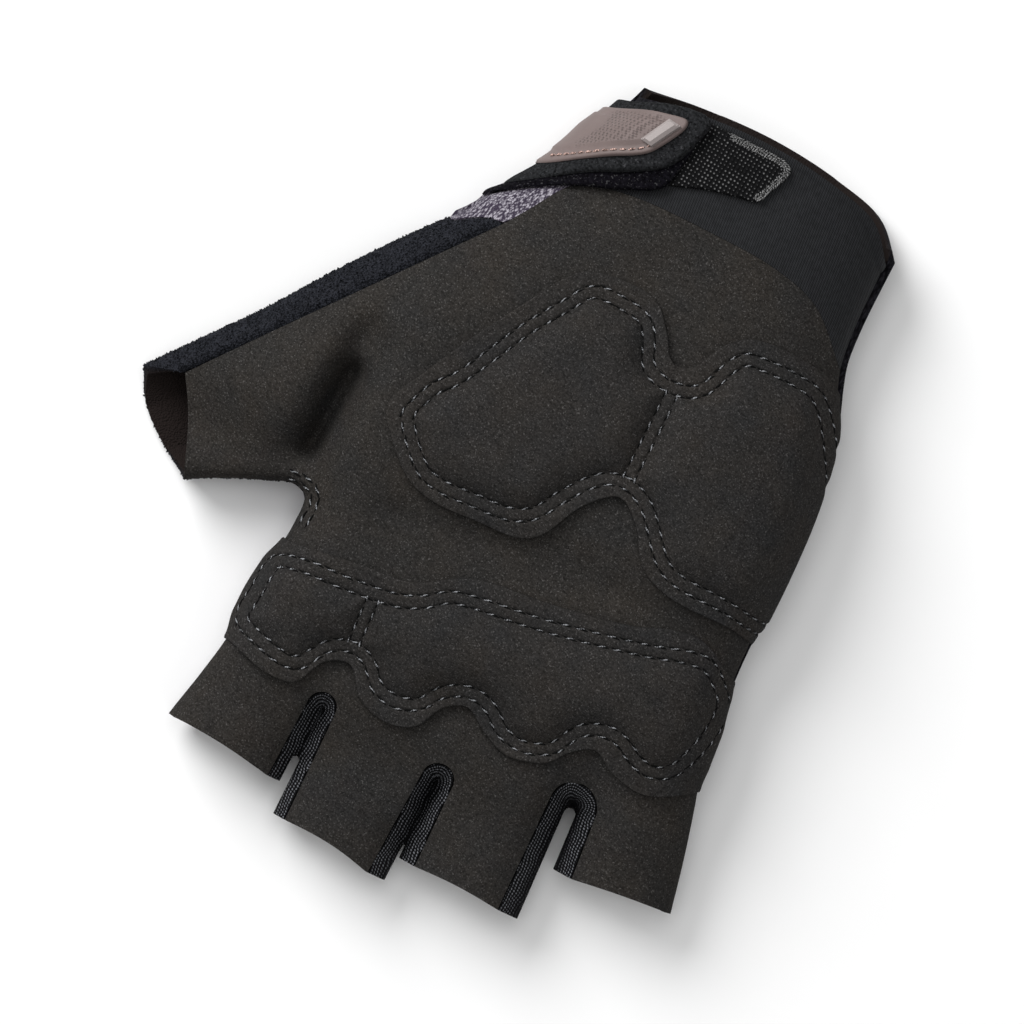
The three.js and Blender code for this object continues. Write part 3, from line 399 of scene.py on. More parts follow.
def counterclockwise(ring):
    area = np.sum(ring[:, 0] * np.roll(ring[:, 1], -1) - ring[:, 1] * np.roll(ring[:, 0], -1))
    return ring if area > 0 else ring[::-1]


def closed_loop(ring):
    return np.vstack([ring, ring[:1]])


def depth_in(loop, xy):
    """Distance inside a closed loop, negative outside it."""
    return np.where(inside(loop[:-1], xy), 1, -1) * distance_to(loop, xy)


def loop_aside(loop, amount):
    """A counterclockwise loop moved inward by an amount."""
    return aside(np.vstack([loop[-2:-1], loop, loop[1:2]]), amount)[1:-1]


def clipped(ring, edge, spacing):
    """A ring cut off along an edge, with the points on that edge first, and how many they are."""
    depth = depth_inside(edge, ring)[0]
    out_of = depth < 0
    first = int(np.argmax(out_of & ~np.roll(out_of, 1)))
    ring, depth, out_of = (np.roll(part, -first, axis=0) for part in (ring, depth, out_of))
    count = int(np.argmin(out_of))

    def crossing(within, beyond):
        share = depth[within] / (depth[within] - depth[beyond])
        return nearest(edge, ring[within] + (ring[beyond] - ring[within]) * share)["at"][0]

    start, end = crossing(-1, 0), crossing(count, count - 1)
    steps = max(int(abs(end - start) / spacing), 2)
    on_edge = point_at(edge, lengths_of(edge), np.linspace(start, end, steps + 1))
    rest = ring[count:]
    ends = on_edge[[0, -1]]
    clear = np.hypot(*(rest[:, None] - ends[None]).transpose(2, 0, 1)).min(1) > spacing * 0.5
    return np.vstack([on_edge, rest[clear]]), steps + 1


# The cloth's form over the flat outline

ulnar = smooth_path(ulnar_edge)
radial = smooth_path(radial_edge)
index = smooth_path(index_edge)
slot_steps = 40


def slot_path(gap, half_width, top):
    """Up one finger, round the top of the slot and down the next finger."""
    radius = half_width * palm_width

    def place(turn, y):
        lean = gap["lean"] * palm_width * (y / glove_length - gap["along"])
        return gap["across"] * palm_width + turn * radius + lean, y

    angles = np.pi * (1 - even(slot_steps))
    middle = top * glove_length - radius
    arc = [place(math.cos(angle), middle + radius * math.sin(angle)) for angle in angles]
    foot = past_fingertips * glove_length
    return np.array([place(-slot_flare, foot)] + arc + [place(slot_flare, foot)])


slots = [slot_path(gap, gap["width"] / 2, gap["slot"]) for gap in finger_gaps]
seams = [slot_path(gap, gap["seam"], gap["along"]) for gap in finger_gaps]


def section_at(y):
    along = y / glove_length
    row = np.clip(np.searchsorted(sections[:, 0], along), 1, len(sections) - 1)
    low, high = sections[row - 1], sections[row]
    t = smoothstep(along, low[:, 0], high[:, 0])[:, None]
    return (low + (high - low) * t)[:, 1:].T


def dent_depth(xy):
    """How deep the palm's valleys are at each point, and the slope of that."""
    depth = np.zeros(len(xy))
    slope = np.zeros((len(xy), 2))
    for start, end, width, deep in dents:
        near = nearest(np.array([spot(start), spot(end)]), xy)
        reach = width * palm_width
        part = deep * palm_half_height * np.exp(-(near["distance"] / reach) ** 2)
        depth += part
        slope -= 2 * part[:, None] * (xy - near["place"]) / reach ** 2
    return depth, slope


def plain_height(xy):
    """Half height of the form over each spot, before its sides roll over."""
    taper = smoothstep(-xy[:, 0] / palm_width, thumb_taper["start"], thumb_taper["end"])
    return palm_half_height * section_at(xy[:, 1])[0] * (1 - thumb_taper["loss"] * taper)


def form_at(xy):
    """Half height and squared fullness of the form at each point, with their slopes."""
    _, radial_roll, ulnar_roll = section_at(xy[:, 1])
    height = plain_height(xy)
    fixed = np.ones(len(xy))
    edges = [(ulnar, ulnar_roll), (radial, radial_roll), (index, index_roll * fixed)]
    edges += [(slot, slot_roll * fixed) for slot in slots]
    full = np.ones(len(xy))
    parts = []
    for path, roll in edges:
        depth, slope = depth_inside(path, xy)
        width = roll * palm_width
        rest = np.maximum(1 - depth / width, 0)
        parts.append((1 - rest ** 2, (2 * rest / width)[:, None] * slope))
        full = full * (1 - rest ** 2)
    full_slope = np.zeros_like(xy)
    for number, (_, slope) in enumerate(parts):
        others = np.ones(len(xy))
        for other, (value, _) in enumerate(parts):
            if other != number:
                others = others * value
        full_slope += others[:, None] * slope
    return height, full, full_slope


def undulation(xy):
    """Slow unevenness of worn cloth: crossed waves, in radians per millimetre."""
    x, y = xy.T
    waves = np.sin(0.31 * x + 1.7 * np.sin(0.11 * y + 0.5)) * np.sin(0.23 * y + 1.3 * np.sin(0.14 * x))
    return waves + 0.5 * np.sin(0.67 * x + 0.41 * y + 0.9 * np.sin(0.3 * y)) * np.sin(0.52 * y - 0.2 * x)


cloth_wave = 0.13


def on_skin(xy, side):
    """Place of the cloth over each spot and its outward direction; side is +1 palm, -1 back."""
    xy = np.asarray(xy, float)
    height, full, full_slope = form_at(xy)
    height_slope = np.zeros_like(xy)
    for k in (0, 1):
        shift = np.zeros(2)
        shift[k] = height_step
        height_slope[:, k] = (plain_height(xy + shift) - plain_height(xy - shift)) / (2 * height_step)
    dent = np.zeros(len(xy))
    dent_slope = np.zeros_like(xy)
    if side > 0:
        depth, slope = dent_depth(xy)
        dent = depth * full + cloth_wave * undulation(xy) * full
        dent_slope = slope * full[:, None] + depth[:, None] * full_slope
    rise = height * np.sqrt(np.maximum(full, 0))
    z = height - rest_flattening + side * (half_gap + rise) - dent
    share = side * rise / height
    lean = 2 * share[:, None] * (-height_slope + dent_slope - share[:, None] * height_slope)
    lean = lean / height[:, None] - full_slope
    out = np.column_stack([lean, 2 * share / height])
    out /= np.maximum(np.linalg.norm(out, axis=1), 1e-12)[:, None]
    flat = z <= 0
    z = np.where(flat, 0, z)
    out[flat] = (0, 0, -1)
    return np.column_stack([xy, z]), out


# Grids of spots spanned between border lines

def patch(bottom, right, top, left, side):
    columns, rows = len(bottom) - 1, len(left) - 1

    def shares(path):
        lengths = lengths_of(path)
        return lengths / lengths[-1]

    v0 = even(rows)[:, None]
    u0 = even(columns)[None, :]
    u = shares(bottom)[None, :] * (1 - v0) + shares(top)[None, :] * v0
    v = shares(left)[:, None] * (1 - u0) + shares(right)[:, None] * u0
    u, v = u[..., None], v[..., None]
    xy = ((1 - v) * bottom[None] + v * top[None] + (1 - u) * left[:, None] + u * right[:, None]
          - (1 - u) * (1 - v) * bottom[0] - u * (1 - v) * bottom[-1]
          - (1 - u) * v * top[0] - u * v * top[-1])
    xy[0], xy[-1] = bottom, top
    xy[:, 0], xy[:, -1] = left, right
    return xy, side


def bridge(points):
    """Cloth that turns from one side of the glove to the other along an edge."""
    return np.stack([points, points]), 0


# Meshes from grids and from flat regions

soft_edge_degrees = 50


def linked(name, data):
    """An object at the origin, in the scene."""
    made = bpy.data.objects.new(name, data)
    bpy.context.scene.collection.objects.link(made)
    return made


def new_piece(name, points, faces, sharp_degrees=soft_edge_degrees):
    """A smooth-shaded mesh object at the origin, from points in millimetres."""
    mesh = bpy.data.meshes.new(name)
    mesh.from_pydata((np.asarray(points) * mm).tolist(), [], [list(map(int, face)) for face in faces])
    mesh.validate()
    shape = bmesh.new()
    shape.from_mesh(mesh)
    bmesh.ops.recalc_face_normals(shape, faces=shape.faces)
    shape.to_mesh(mesh)
    shape.free()
    mesh.shade_smooth()
    mesh.set_sharp_from_angle(angle=math.radians(sharp_degrees))
    return linked(name, mesh)


def welded(grids):
    """The spots of several grids with shared ones merged: xy, side and quads."""
    spots, quads, count = [], [], 0
    for xy, side in grids:
        rows, columns = xy.shape[:2]
        sides = np.full((rows, columns), side, float)
        if side == 0:
            sides[0], sides[1] = -1, 1
        spots.append(np.column_stack([xy.reshape(-1, 2), sides.ravel()]))
        number = np.arange(rows * columns).reshape(rows, columns) + count
        quad = np.stack([number[:-1, :-1], number[:-1, 1:], number[1:, 1:], number[1:, :-1]], -1)
        quads.append(quad.reshape(-1, 4))
        count += rows * columns
    spots = np.vstack(spots)
    _, first, numbers = np.unique(np.round(spots, 3), axis=0, return_index=True, return_inverse=True)
    spots = spots[first]
    return spots[:, :2], spots[:, 2], [numbers.ravel()[quad] for quad in quads]


def skin_of(xy, side):
    points = np.zeros((len(xy), 3))
    out = np.zeros((len(xy), 3))
    for turn in (-1, 1):
        rows = side == turn
        if rows.any():
            points[rows], out[rows] = on_skin(xy[rows], turn)
    return points, out


def outward(points, out, quads):
    """The quads of one grid, turned so that most of them face out."""
    a, b, c, d = (points[quads[:, k]] for k in range(4))
    facing = (np.cross(c - a, d - b) * out[quads].sum(1)).sum()
    return quads if facing >= 0 else quads[:, ::-1]


def simple(faces):
    """Faces without repeated corners, and without any that have fewer than three left."""
    tidy = []
    for face in faces:
        corners = [n for k, n in enumerate(face) if n != face[k - 1]]
        if len(set(corners)) >= 3:
            tidy.append(corners)
    return tidy


def edges_left_open(faces):
    seen = {}
    for face in faces:
        for k, start in enumerate(face):
            end = face[(k + 1) % len(face)]
            if (end, start) in seen:
                del seen[(end, start)]
            else:
                seen[(start, end)] = True
    return list(seen)


def shell(name, grids, upper, lower):
    """A closed wall of cloth over welded grids, between two heights above the skin."""
    xy, side, quads = welded(grids)
    points, out = skin_of(xy, side)
    faces = simple(np.vstack([outward(points, out, quad) for quad in quads]))
    high = upper(xy, side) if callable(upper) else upper
    return closed_wall(name, points, out, high, lower, faces)


def closed_wall(name, points, out, high, low, faces, sharp_degrees=soft_edge_degrees):
    """The outer faces at one height, the same faces turned inside out at another, and the rim."""
    count = len(points)
    high = np.broadcast_to(high, count)[:, None]
    low = np.broadcast_to(low, count)[:, None]
    corners = np.vstack([points + out * high, points + out * low])
    whole = [list(face) for face in faces]
    whole += [[n + count for n in reversed(face)] for face in faces]
    whole += [[b, a, a + count, b + count] for a, b in edges_left_open(faces)]
    piece = new_piece(name, corners, whole, sharp_degrees)
    lining = piece.data.attributes.new("lining", "FLOAT", "POINT")
    lining.data.foreach_set("value", np.repeat([0.0, 1.0], count))
    return piece


row_slack = 0.03
row_room = 0.2
lattice_room = 0.6
ring_steps = 2000
least_step = 0.05


def region(ring, depths, spacing, lines=(), offsets=(0.0,)):
    """Triangles inside a flat ring: rows of spots along its edge and along lines, then a lattice."""
    ring = counterclockwise(ring)
    loop = closed_loop(ring)
    spots = [ring]
    for depth in depths:
        row = loop_aside(loop, depth)[:-1]
        row = row[inside(ring, row)]
        spots.append(row[distance_to(loop, row) >= depth - row_slack])
    reach = max(depths)
    low, high = ring.min(0), ring.max(0)
    rise = spacing * math.sqrt(3) / 2
    y = np.arange(low[1], high[1], rise)
    x = np.arange(low[0], high[0], spacing)
    lattice = np.stack(np.meshgrid(x, y), -1)
    lattice[1::2, :, 0] += spacing / 2
    lattice = lattice.reshape(-1, 2)
    for line in lines:
        for offset in offsets:
            row = loop_aside(line, offset) if np.allclose(line[0], line[-1]) else aside(line, offset)
            row = row[inside(ring, row)]
            row = row[distance_to(loop, row) >= reach + row_room]
            spots.append(row[distance_to(line, row) >= abs(offset) - row_slack])
        lattice = lattice[distance_to(line, lattice) >= max(offsets) + spacing / 2]
    lattice = lattice[inside(ring, lattice)]
    lattice = lattice[distance_to(loop, lattice) >= reach + spacing * lattice_room]
    spots.append(lattice)
    flat = [Vector(spot_xy) for spot_xy in np.vstack(spots)]
    result = delaunay_2d_cdt(flat, [], [list(range(len(ring)))], 1, 1e-5, False)
    xy = np.array([tuple(v) for v in result[0]])
    faces = np.array([list(face) for face in result[2]])
    faces = faces[inside(ring, xy[faces].mean(1))]
    return xy, faces.tolist(), distance_to(loop, xy)


def rounded(depth, radius):
    """Share of the full height at a depth from a rounded edge."""
    rest = 1 - np.clip(depth / radius, 0, 1)
    return np.sqrt(np.maximum(1 - rest ** 2, 0))


def ring_of(rows, spacing):
    """A closed outline as evenly spaced points, without the repeated last one."""
    dense = smooth_path(rows, ring_steps, closed=True)
    return spaced(dense, max(int(lengths_of(dense)[-1] / spacing), 8))[:-1]


def held_in(ring, edge):
    """A ring whose points outside the glove are brought back to its edge."""
    ring = ring.copy()
    near = nearest(edge, ring)
    out_of = near["side"] < 0
    ring[out_of] = near["place"][out_of]
    keep = np.hypot(*(ring - np.roll(ring, 1, axis=0)).T) > least_step
    return ring[keep]


def overlay(name, ring, depths, spacing, upper, lower, sharp_degrees=soft_edge_degrees, **lines):
    """A sewn-on piece: a flat outline laid on the palm between two heights above it."""
    xy, faces, depth = region(ring, depths, spacing, **lines)
    points, out = on_skin(xy, 1)
    low = lower(xy, depth) if callable(lower) else lower
    return closed_wall(name, points, out, upper(xy, depth), low, faces, sharp_degrees)


# Border lines of the panels, each named as in the solids

terry_line = smooth_path(terry_seam)
suede_line = smooth_path(suede_edge)
cuff_line = smooth_path(cuff_seam)
hem_line = smooth_path(wrist_hem)
cuff_end_line = smooth_path(cuff_end)
mesh_line = smooth_path(mesh_seam)
root_line = smooth_path(thumb_root)
root_back_line = smooth_path(thumb_root_back)
near_hem_line = smooth_path(thumb_hem_near)
far_hem_line = smooth_path(thumb_hem_far)

crotch = spot(thumb_root[0])
radial_corner = spot(suede_edge[0])
cuff_corner = spot(cuff_seam[0])
cuff_ulnar = spot(cuff_seam[-1])
thumb_near_end = spot(thumb_hem_near[-1])
thumb_far_start = spot(thumb_hem_far[0])
thumb_far_end = spot(thumb_hem_far[-1])
mesh_radial = spot(mesh_seam[-1])
cuff_end_top = spot(cuff_end[-1])
wrist_start = spot(wrist_hem[0])
wrist_end = spot(wrist_hem[-1])
last_finger = len(finger_gaps)


def finger_shares(finger, columns):
    if finger == 0:
        return crowded_start(columns)
    if finger == last_finger:
        return crowded_end(columns)
    return even(columns)


def branch_up(path, side, foot_y):
    """One side of a slot or seam, from a height at its foot up to its top."""
    middle = len(path) // 2
    branch = path[:middle + 1] if side < 0 else path[middle:][::-1]
    number = 1 + int(np.argmax(branch[1:, 1] > foot_y))
    below, above = branch[number - 1], branch[number]
    start = below + (above - below) * (foot_y - below[1]) / (above[1] - below[1])
    return np.vstack([start, branch[number:]])


def spaced_branch(path, side, foot_y, shares):
    line = branch_up(path, side, foot_y)
    lengths = lengths_of(line)
    return point_at(line, lengths, shares * lengths[-1])


def crotch_row(columns):
    marks = [spot(index_base)] + [spot((gap["across"], gap["along"])) for gap in finger_gaps]
    marks.append(spot(little_base))
    marks[0] = nearest_on(index, marks[0])
    marks[-1] = nearest_on(ulnar, marks[-1])
    for gap in range(1, last_finger + 1):
        marks[gap] = marks[gap] + np.array([0, half_gap])
    parts = []
    for finger in range(last_finger + 1):
        shares = finger_shares(finger, columns)[:, None]
        parts.append(marks[finger] + (marks[finger + 1] - marks[finger]) * shares)
    return joined(*parts)


def finger_patches(side, crotches, columns, rows):
    """The four fingers on one side of the glove, each from its hem up to the row of crotches."""
    patches = []
    shares = even(rows)
    for finger in range(last_finger + 1):
        top = crotches[finger * columns:(finger + 1) * columns + 1]
        if finger == 0:
            left = stretch(index, spot(index_corner), top[0], shares)
        else:
            foot = finger_gaps[finger - 1]["hems"][1] * glove_length
            left = spaced_branch(aside(seams[finger - 1], half_gap), 1, foot, shares)
        if finger == last_finger:
            right = stretch(ulnar, spot(little_corner), top[-1], shares)
        else:
            foot = finger_gaps[finger]["hems"][0] * glove_length
            right = spaced_branch(aside(seams[finger], half_gap), -1, foot, shares)
        left[-1], right[-1] = top[0], top[-1]
        t = finger_shares(finger, columns)
        hem = left[0] + (right[0] - left[0]) * t[:, None]
        hem[:, 1] += hem_bows[finger] * glove_length * np.sin(np.pi * t)
        patches.append(patch(hem, right, top, left, side))
    return patches


palm_counts = dict(finger_columns=34, side_rows=44, root_rows=84, end_rows=24)
back_counts = dict(finger_columns=22, side_rows=26, root_rows=44, end_rows=20)
palm_finger_rows = 40
back_finger_rows = 24
thumb_columns = 56
strip_columns = 26
cuff_columns = 120
cuff_rows = 44

palm_columns = palm_counts["finger_columns"] * (last_finger + 1)
palm_crotches = crotch_row(palm_counts["finger_columns"])
palm_rim = aside(joined(terry_line, suede_line, cuff_line), 0.6 * half_gap)
rim_corner = nearest_on(palm_rim, radial_corner)
rim_cuff = nearest_on(palm_rim, cuff_corner)
rim_ulnar = nearest_on(palm_rim, cuff_ulnar)
ulnar_cuff = nearest_on(ulnar, rim_ulnar)
index_crotch = nearest_on(index, crotch)


def palm_grids():
    """Palm, palm side of the thumb and the four fingers."""
    counts = palm_counts
    root = pinned(stretch(root_line, crotch, radial_corner, even(counts["root_rows"])),
                  index_crotch, rim_corner)
    side_line = stretch(index, palm_crotches[0], crotch, even(counts["side_rows"]))
    left = joined(pinned(side_line, palm_crotches[0], index_crotch), root,
                  stretch(palm_rim, rim_corner, rim_cuff, even(counts["end_rows"])))
    rows = len(left) - 1
    right = fixed_stretch(ulnar, palm_crotches[-1], ulnar_cuff, even(rows))
    top = pinned(stretch(palm_rim, rim_cuff, rim_ulnar, crowded_end(palm_columns)), left[-1], ulnar_cuff)
    body = patch(palm_crotches, right, top, left, 1)
    rim = pinned(stretch(palm_rim, spot(terry_seam[0]), rim_corner, even(thumb_columns)),
                 nearest_on(palm_rim, spot(terry_seam[0])), rim_corner)
    inner_corner = nearest_on(index, thumb_near_end)
    inner = pinned(stretch(index, inner_corner, crotch, even(thumb_columns)), inner_corner, index_crotch)
    near = fixed_stretch(near_hem_line, inner_corner, rim[0], crowded_start(counts["root_rows"]))
    thumb = patch(near, rim, root, inner, 1)
    return [body, thumb] + finger_patches(1, palm_crotches, counts["finger_columns"], palm_finger_rows)


radial_mesh = nearest_on(radial, mesh_radial)
radial_wrist = nearest_on(radial, wrist_start)
ulnar_wrist = nearest_on(ulnar, wrist_end)
back_root = stretch(aside(root_back_line, -half_gap), crotch, radial_mesh, even(back_counts["root_rows"]))


def back_grids():
    """Back of the hand and fingers, and its knit that wraps to the palm side below the strap."""
    counts = back_counts
    columns = counts["finger_columns"] * (last_finger + 1)
    crotches = crotch_row(counts["finger_columns"])
    edge = stretch(radial, back_root[-1], radial_wrist, even(counts["end_rows"]))
    edge[0] = nearest_on(radial, edge[0])
    root = back_root.copy()
    root[-1] = edge[0]
    side_line = stretch(index, crotches[0], crotch, even(counts["side_rows"]))
    left = joined(pinned(side_line, crotches[0], root[0]), root, edge)
    rows = len(left) - 1
    right = fixed_stretch(ulnar, crotches[-1], ulnar_wrist, even(rows))
    top = pinned(stretch(aside(hem_line, wrist_overhang), radial_wrist, ulnar_wrist, crowded_both(columns)),
                 left[-1], ulnar_wrist)
    body = patch(crotches, right, top, left, -1)
    rim = aside(joined(suede_line, cuff_end_line), half_gap)
    corner = nearest_on(rim, radial_corner) + np.array([-half_gap, half_gap])
    bottom = pinned(stretch(aside(mesh_line, -half_gap), mesh_radial, radial_corner,
                            crowded_start(strip_columns)), edge[0], corner)
    end = nearest_on(rim, cuff_end_top)
    strip_right = pinned(stretch(rim, radial_corner, cuff_end_top, even(counts["end_rows"])), corner, end)
    strip_top = pinned(stretch(hem_line, radial_wrist, end, crowded_start(strip_columns)), edge[-1], end)
    strip = patch(bottom, strip_right, strip_top, edge, 1)
    fingers = finger_patches(-1, crotches, counts["finger_columns"], back_finger_rows)
    return [body, bridge(edge), strip] + fingers


def terry_grids():
    """Back of the thumb, and its strip that shows beside the palm's suede."""
    rows = back_counts["root_rows"]
    low = nearest_on(radial, thumb_far_start)
    far = stretch(aside(root_back_line, half_gap), crotch, radial_mesh, even(rows))
    high = nearest_on(radial, far[-1])
    inner = stretch(index, thumb_far_end, far[0], even(thumb_columns))
    far = pinned(far, inner[-1], high)
    outer = fixed_stretch(radial, low, high, even(thumb_columns))
    hem = pinned(stretch(far_hem_line, thumb_far_end, low, crowded_both(rows)), inner[0], low)
    back = patch(hem, outer, far, inner, -1)
    rim = aside(terry_line, half_gap)
    corner = nearest_on(rim, radial_corner) - half_gap
    strip_inner = pinned(stretch(rim, spot(terry_seam[0]), radial_corner, even(thumb_columns)),
                         nearest_on(rim, spot(terry_seam[0])), corner)
    t = crowded_start(strip_columns)[:, None]
    foot = low + (strip_inner[0] - low) * t
    strip_top = fixed_stretch(aside(mesh_line, half_gap), high, corner, crowded_start(strip_columns))
    strip = patch(foot, strip_inner, strip_top, outer, 1)
    return [back, bridge(outer), strip]


def cuff_grid():
    low = aside(cuff_line, half_gap)
    left_line = aside(cuff_end_line, -half_gap)
    start = nearest_on(low, cuff_corner) + np.array([half_gap, 0])
    right_corner = nearest_on(ulnar, low[-1])
    hem_start = nearest_on(left_line, cuff_end_top)
    bottom = fixed_stretch(low, start, right_corner, crowded_end(cuff_columns))
    right = fixed_stretch(ulnar, right_corner, ulnar_wrist, even(cuff_rows))
    top = fixed_stretch(hem_line, hem_start, ulnar_wrist, crowded_end(cuff_columns))
    left = fixed_stretch(left_line, start, hem_start, even(cuff_rows))
    return patch(bottom, right, top, left, 1)


gusset_ribs = 14
gusset_rows = 44


def gusset_grids(gap):
    """One gusset, from the palm seam over the sides of two fingers to the seam at the back."""
    hems = finger_gaps[gap]["hems"]
    shares = even(gusset_rows)
    sides = [(-1, hems[0] * glove_length), (1, hems[1] * glove_length)]
    seam = aside(seams[gap], -half_gap)
    outer = [spaced_branch(seam, side, foot, shares) for side, foot in sides]
    inner = [spaced_branch(slots[gap], side, foot, shares) for side, foot in sides]
    outer = joined(outer[0], outer[1][::-1])
    inner = joined(inner[0], inner[1][::-1])
    t = crowded_start(gusset_ribs)[:, None, None]
    xy = inner[None] + (outer[None] - inner[None]) * t
    return [(xy[::-1], -1), bridge(inner), (xy, 1)]


# Materials

def node(tree, kind, inputs=None, **settings):
    """A shader or geometry node with its settings and its inputs' values or links."""
    made = tree.nodes.new(kind)
    for key, value in settings.items():
        setattr(made, key, value)
    for name, value in (inputs or {}).items():
        if isinstance(value, bpy.types.NodeSocket):
            tree.links.new(value, made.inputs[name])
        else:
            made.inputs[name].default_value = value
    return made


def maths(tree, operation, *values):
    return node(tree, "ShaderNodeMath", dict(enumerate(values)), operation=operation).outputs[0]


def new_material(name, roughness, gloss=0.08):
    material = bpy.data.materials.new(name)
    material.use_nodes = True
    tree = material.node_tree
    shader = tree.nodes["Principled BSDF"]
    shader.inputs["Roughness"].default_value = roughness
    shader.inputs["Specular IOR Level"].default_value = gloss
    return material, tree, shader


def object_place(tree, turn_degrees=0, stretch=(1, 1, 1)):
    """Object coordinates, turned about the upright axis and stretched."""
    place = node(tree, "ShaderNodeTexCoord").outputs["Object"]
    turned = node(tree, "ShaderNodeMapping", {"Vector": place, "Scale": stretch,
                                              "Rotation": (0, 0, math.radians(turn_degrees))})
    return turned.outputs[0]


def noise(tree, place, scale, detail=2.0, roughness=0.5, seed_shift=0.0):
    shifted = node(tree, "ShaderNodeVectorMath", {0: place, 1: (seed_shift, seed_shift, seed_shift)},
                   operation="ADD").outputs[0]
    return node(tree, "ShaderNodeTexNoise", {"Vector": shifted, "Scale": scale, "Detail": detail,
                                             "Roughness": roughness}).outputs["Fac"]


def between(tree, factor, low, high, low_at=0.0, high_at=1.0):
    """Colour that runs from low to high as the factor runs between two values."""
    ramp = node(tree, "ShaderNodeValToRGB", {"Fac": factor})
    ramp.color_ramp.elements[0].position = low_at
    ramp.color_ramp.elements[1].position = high_at
    ramp.color_ramp.elements[0].color = (*low, 1)
    ramp.color_ramp.elements[1].color = (*high, 1)
    return ramp.outputs["Color"]


def scaled(colour, factor):
    return tuple(min(part * factor, 1) for part in colour)


def mixed(tree, factor, first, second, blend="MIX"):
    made = node(tree, "ShaderNodeMix", data_type="RGBA", blend_type=blend)
    for number, value in ((0, factor), (6, first), (7, second)):
        if isinstance(value, bpy.types.NodeSocket):
            tree.links.new(value, made.inputs[number])
        elif number == 0:
            made.inputs[number].default_value = value
        else:
            made.inputs[number].default_value = (*value, 1)
    return made.outputs[2]


def bumped(tree, shader, height, strength, distance_mm):
    bump = node(tree, "ShaderNodeBump", {"Height": height, "Strength": strength,
                                         "Distance": distance_mm * mm})
    tree.links.new(bump.outputs[0], shader.inputs["Normal"])


def lined(tree, outer, lining):
    """The outer colour, with the lining's on the inner side of a cloth wall."""
    inner = node(tree, "ShaderNodeAttribute", attribute_name="lining").outputs["Fac"]
    return mixed(tree, inner, outer, lining)


def suede_material(name, colour, tint, seed):
    """Brushed synthetic suede: a short nap in fine flecks, over slow patches of wear."""
    material, tree, shader = new_material(name, 0.95, gloss=0.03)
    place = object_place(tree, 27)
    nap = noise(tree, place, 2400, 2.0, 0.6, seed)
    lay = noise(tree, object_place(tree, 27, (0.45, 1, 1)), 1700, 2.0, 0.55, seed + 0.4)
    flecks = noise(tree, place, 3000, 1.0, 0.5, seed + 0.8)
    slow = noise(tree, place, 90, 3.0, 0.55, seed + 1.1)
    pile = maths(tree, "ADD", maths(tree, "MULTIPLY", nap, 0.7), maths(tree, "MULTIPLY", lay, 0.3))
    base = between(tree, pile, scaled(colour, 0.50), scaled(colour, 1.40), 0.34, 0.66)
    cool = (tint[0] * 0.90, tint[1] * 0.93, tint[2] * 0.96)
    warm = (tint[0] * 1.12, tint[1] * 1.06, tint[2] * 0.99)
    worn = between(tree, slow, cool, warm, 0.3, 0.7)
    toned = mixed(tree, 1.0, base, worn, "MULTIPLY")
    bright = between(tree, flecks, (0, 0, 0), scaled(colour, 2.4), 0.60, 0.78)
    tree.links.new(mixed(tree, 1.0, toned, bright, "ADD"), shader.inputs["Base Color"])
    bumped(tree, shader, pile, 0.6, 0.20)
    return material


def terry_material(name, colour, lining):
    """Towelling: small uneven loops of yarn."""
    material, tree, shader = new_material(name, 1.0, gloss=0.04)
    place = object_place(tree, 40)
    loops = node(tree, "ShaderNodeTexVoronoi", {"Vector": place, "Scale": 2500.0}).outputs["Distance"]
    slow = noise(tree, place, 420, 3.0, 0.6, 0.2)
    tone = maths(tree, "ADD", maths(tree, "MULTIPLY", loops, 0.7), maths(tree, "MULTIPLY", slow, 0.5))
    yarn = between(tree, tone, scaled(colour, 1.7), scaled(colour, 0.35), 0.30, 0.80)
    tree.links.new(lined(tree, yarn, lining), shader.inputs["Base Color"])
    bumped(tree, shader, maths(tree, "SUBTRACT", 1.0, loops), 0.9, 0.35)
    return material


def knit_material(name, colour, knot_colour, plain, lining):
    """Knit with light knots on dark yarn beside the thumb, and dark yarn elsewhere."""
    material, tree, shader = new_material(name, 0.9, gloss=0.05)
    lean = object_place(tree, 62, (1, 0.42, 1))
    cells = node(tree, "ShaderNodeTexVoronoi", {"Vector": lean, "Scale": 2300.0, "Randomness": 0.8})
    knots = maths(tree, "SUBTRACT", 1.0, cells.outputs["Distance"])
    random = noise(tree, lean, 1500, 2.0, 0.6, 0.3)
    tone = maths(tree, "MULTIPLY", knots, maths(tree, "MULTIPLY_ADD", random, 1.9, -0.22))
    light = between(tree, tone, colour, knot_colour, 0.26, 0.70)
    spot_at = node(tree, "ShaderNodeSeparateXYZ", {0: object_place(tree)})
    across = node(tree, "ShaderNodeMapRange", {0: spot_at.outputs["X"], 1: -0.022, 2: -0.014})
    along = node(tree, "ShaderNodeMapRange", {0: spot_at.outputs["Y"], 1: 0.064, 2: 0.068})
    beyond = maths(tree, "MAXIMUM", across.outputs[0], along.outputs[0])
    dark = between(tree, tone, scaled(plain, 0.5), scaled(plain, 2.0), 0.22, 0.62)
    yarn = mixed(tree, beyond, light, dark)
    tree.links.new(lined(tree, yarn, lining), shader.inputs["Base Color"])
    bumped(tree, shader, knots, 0.8, 0.22)
    return material


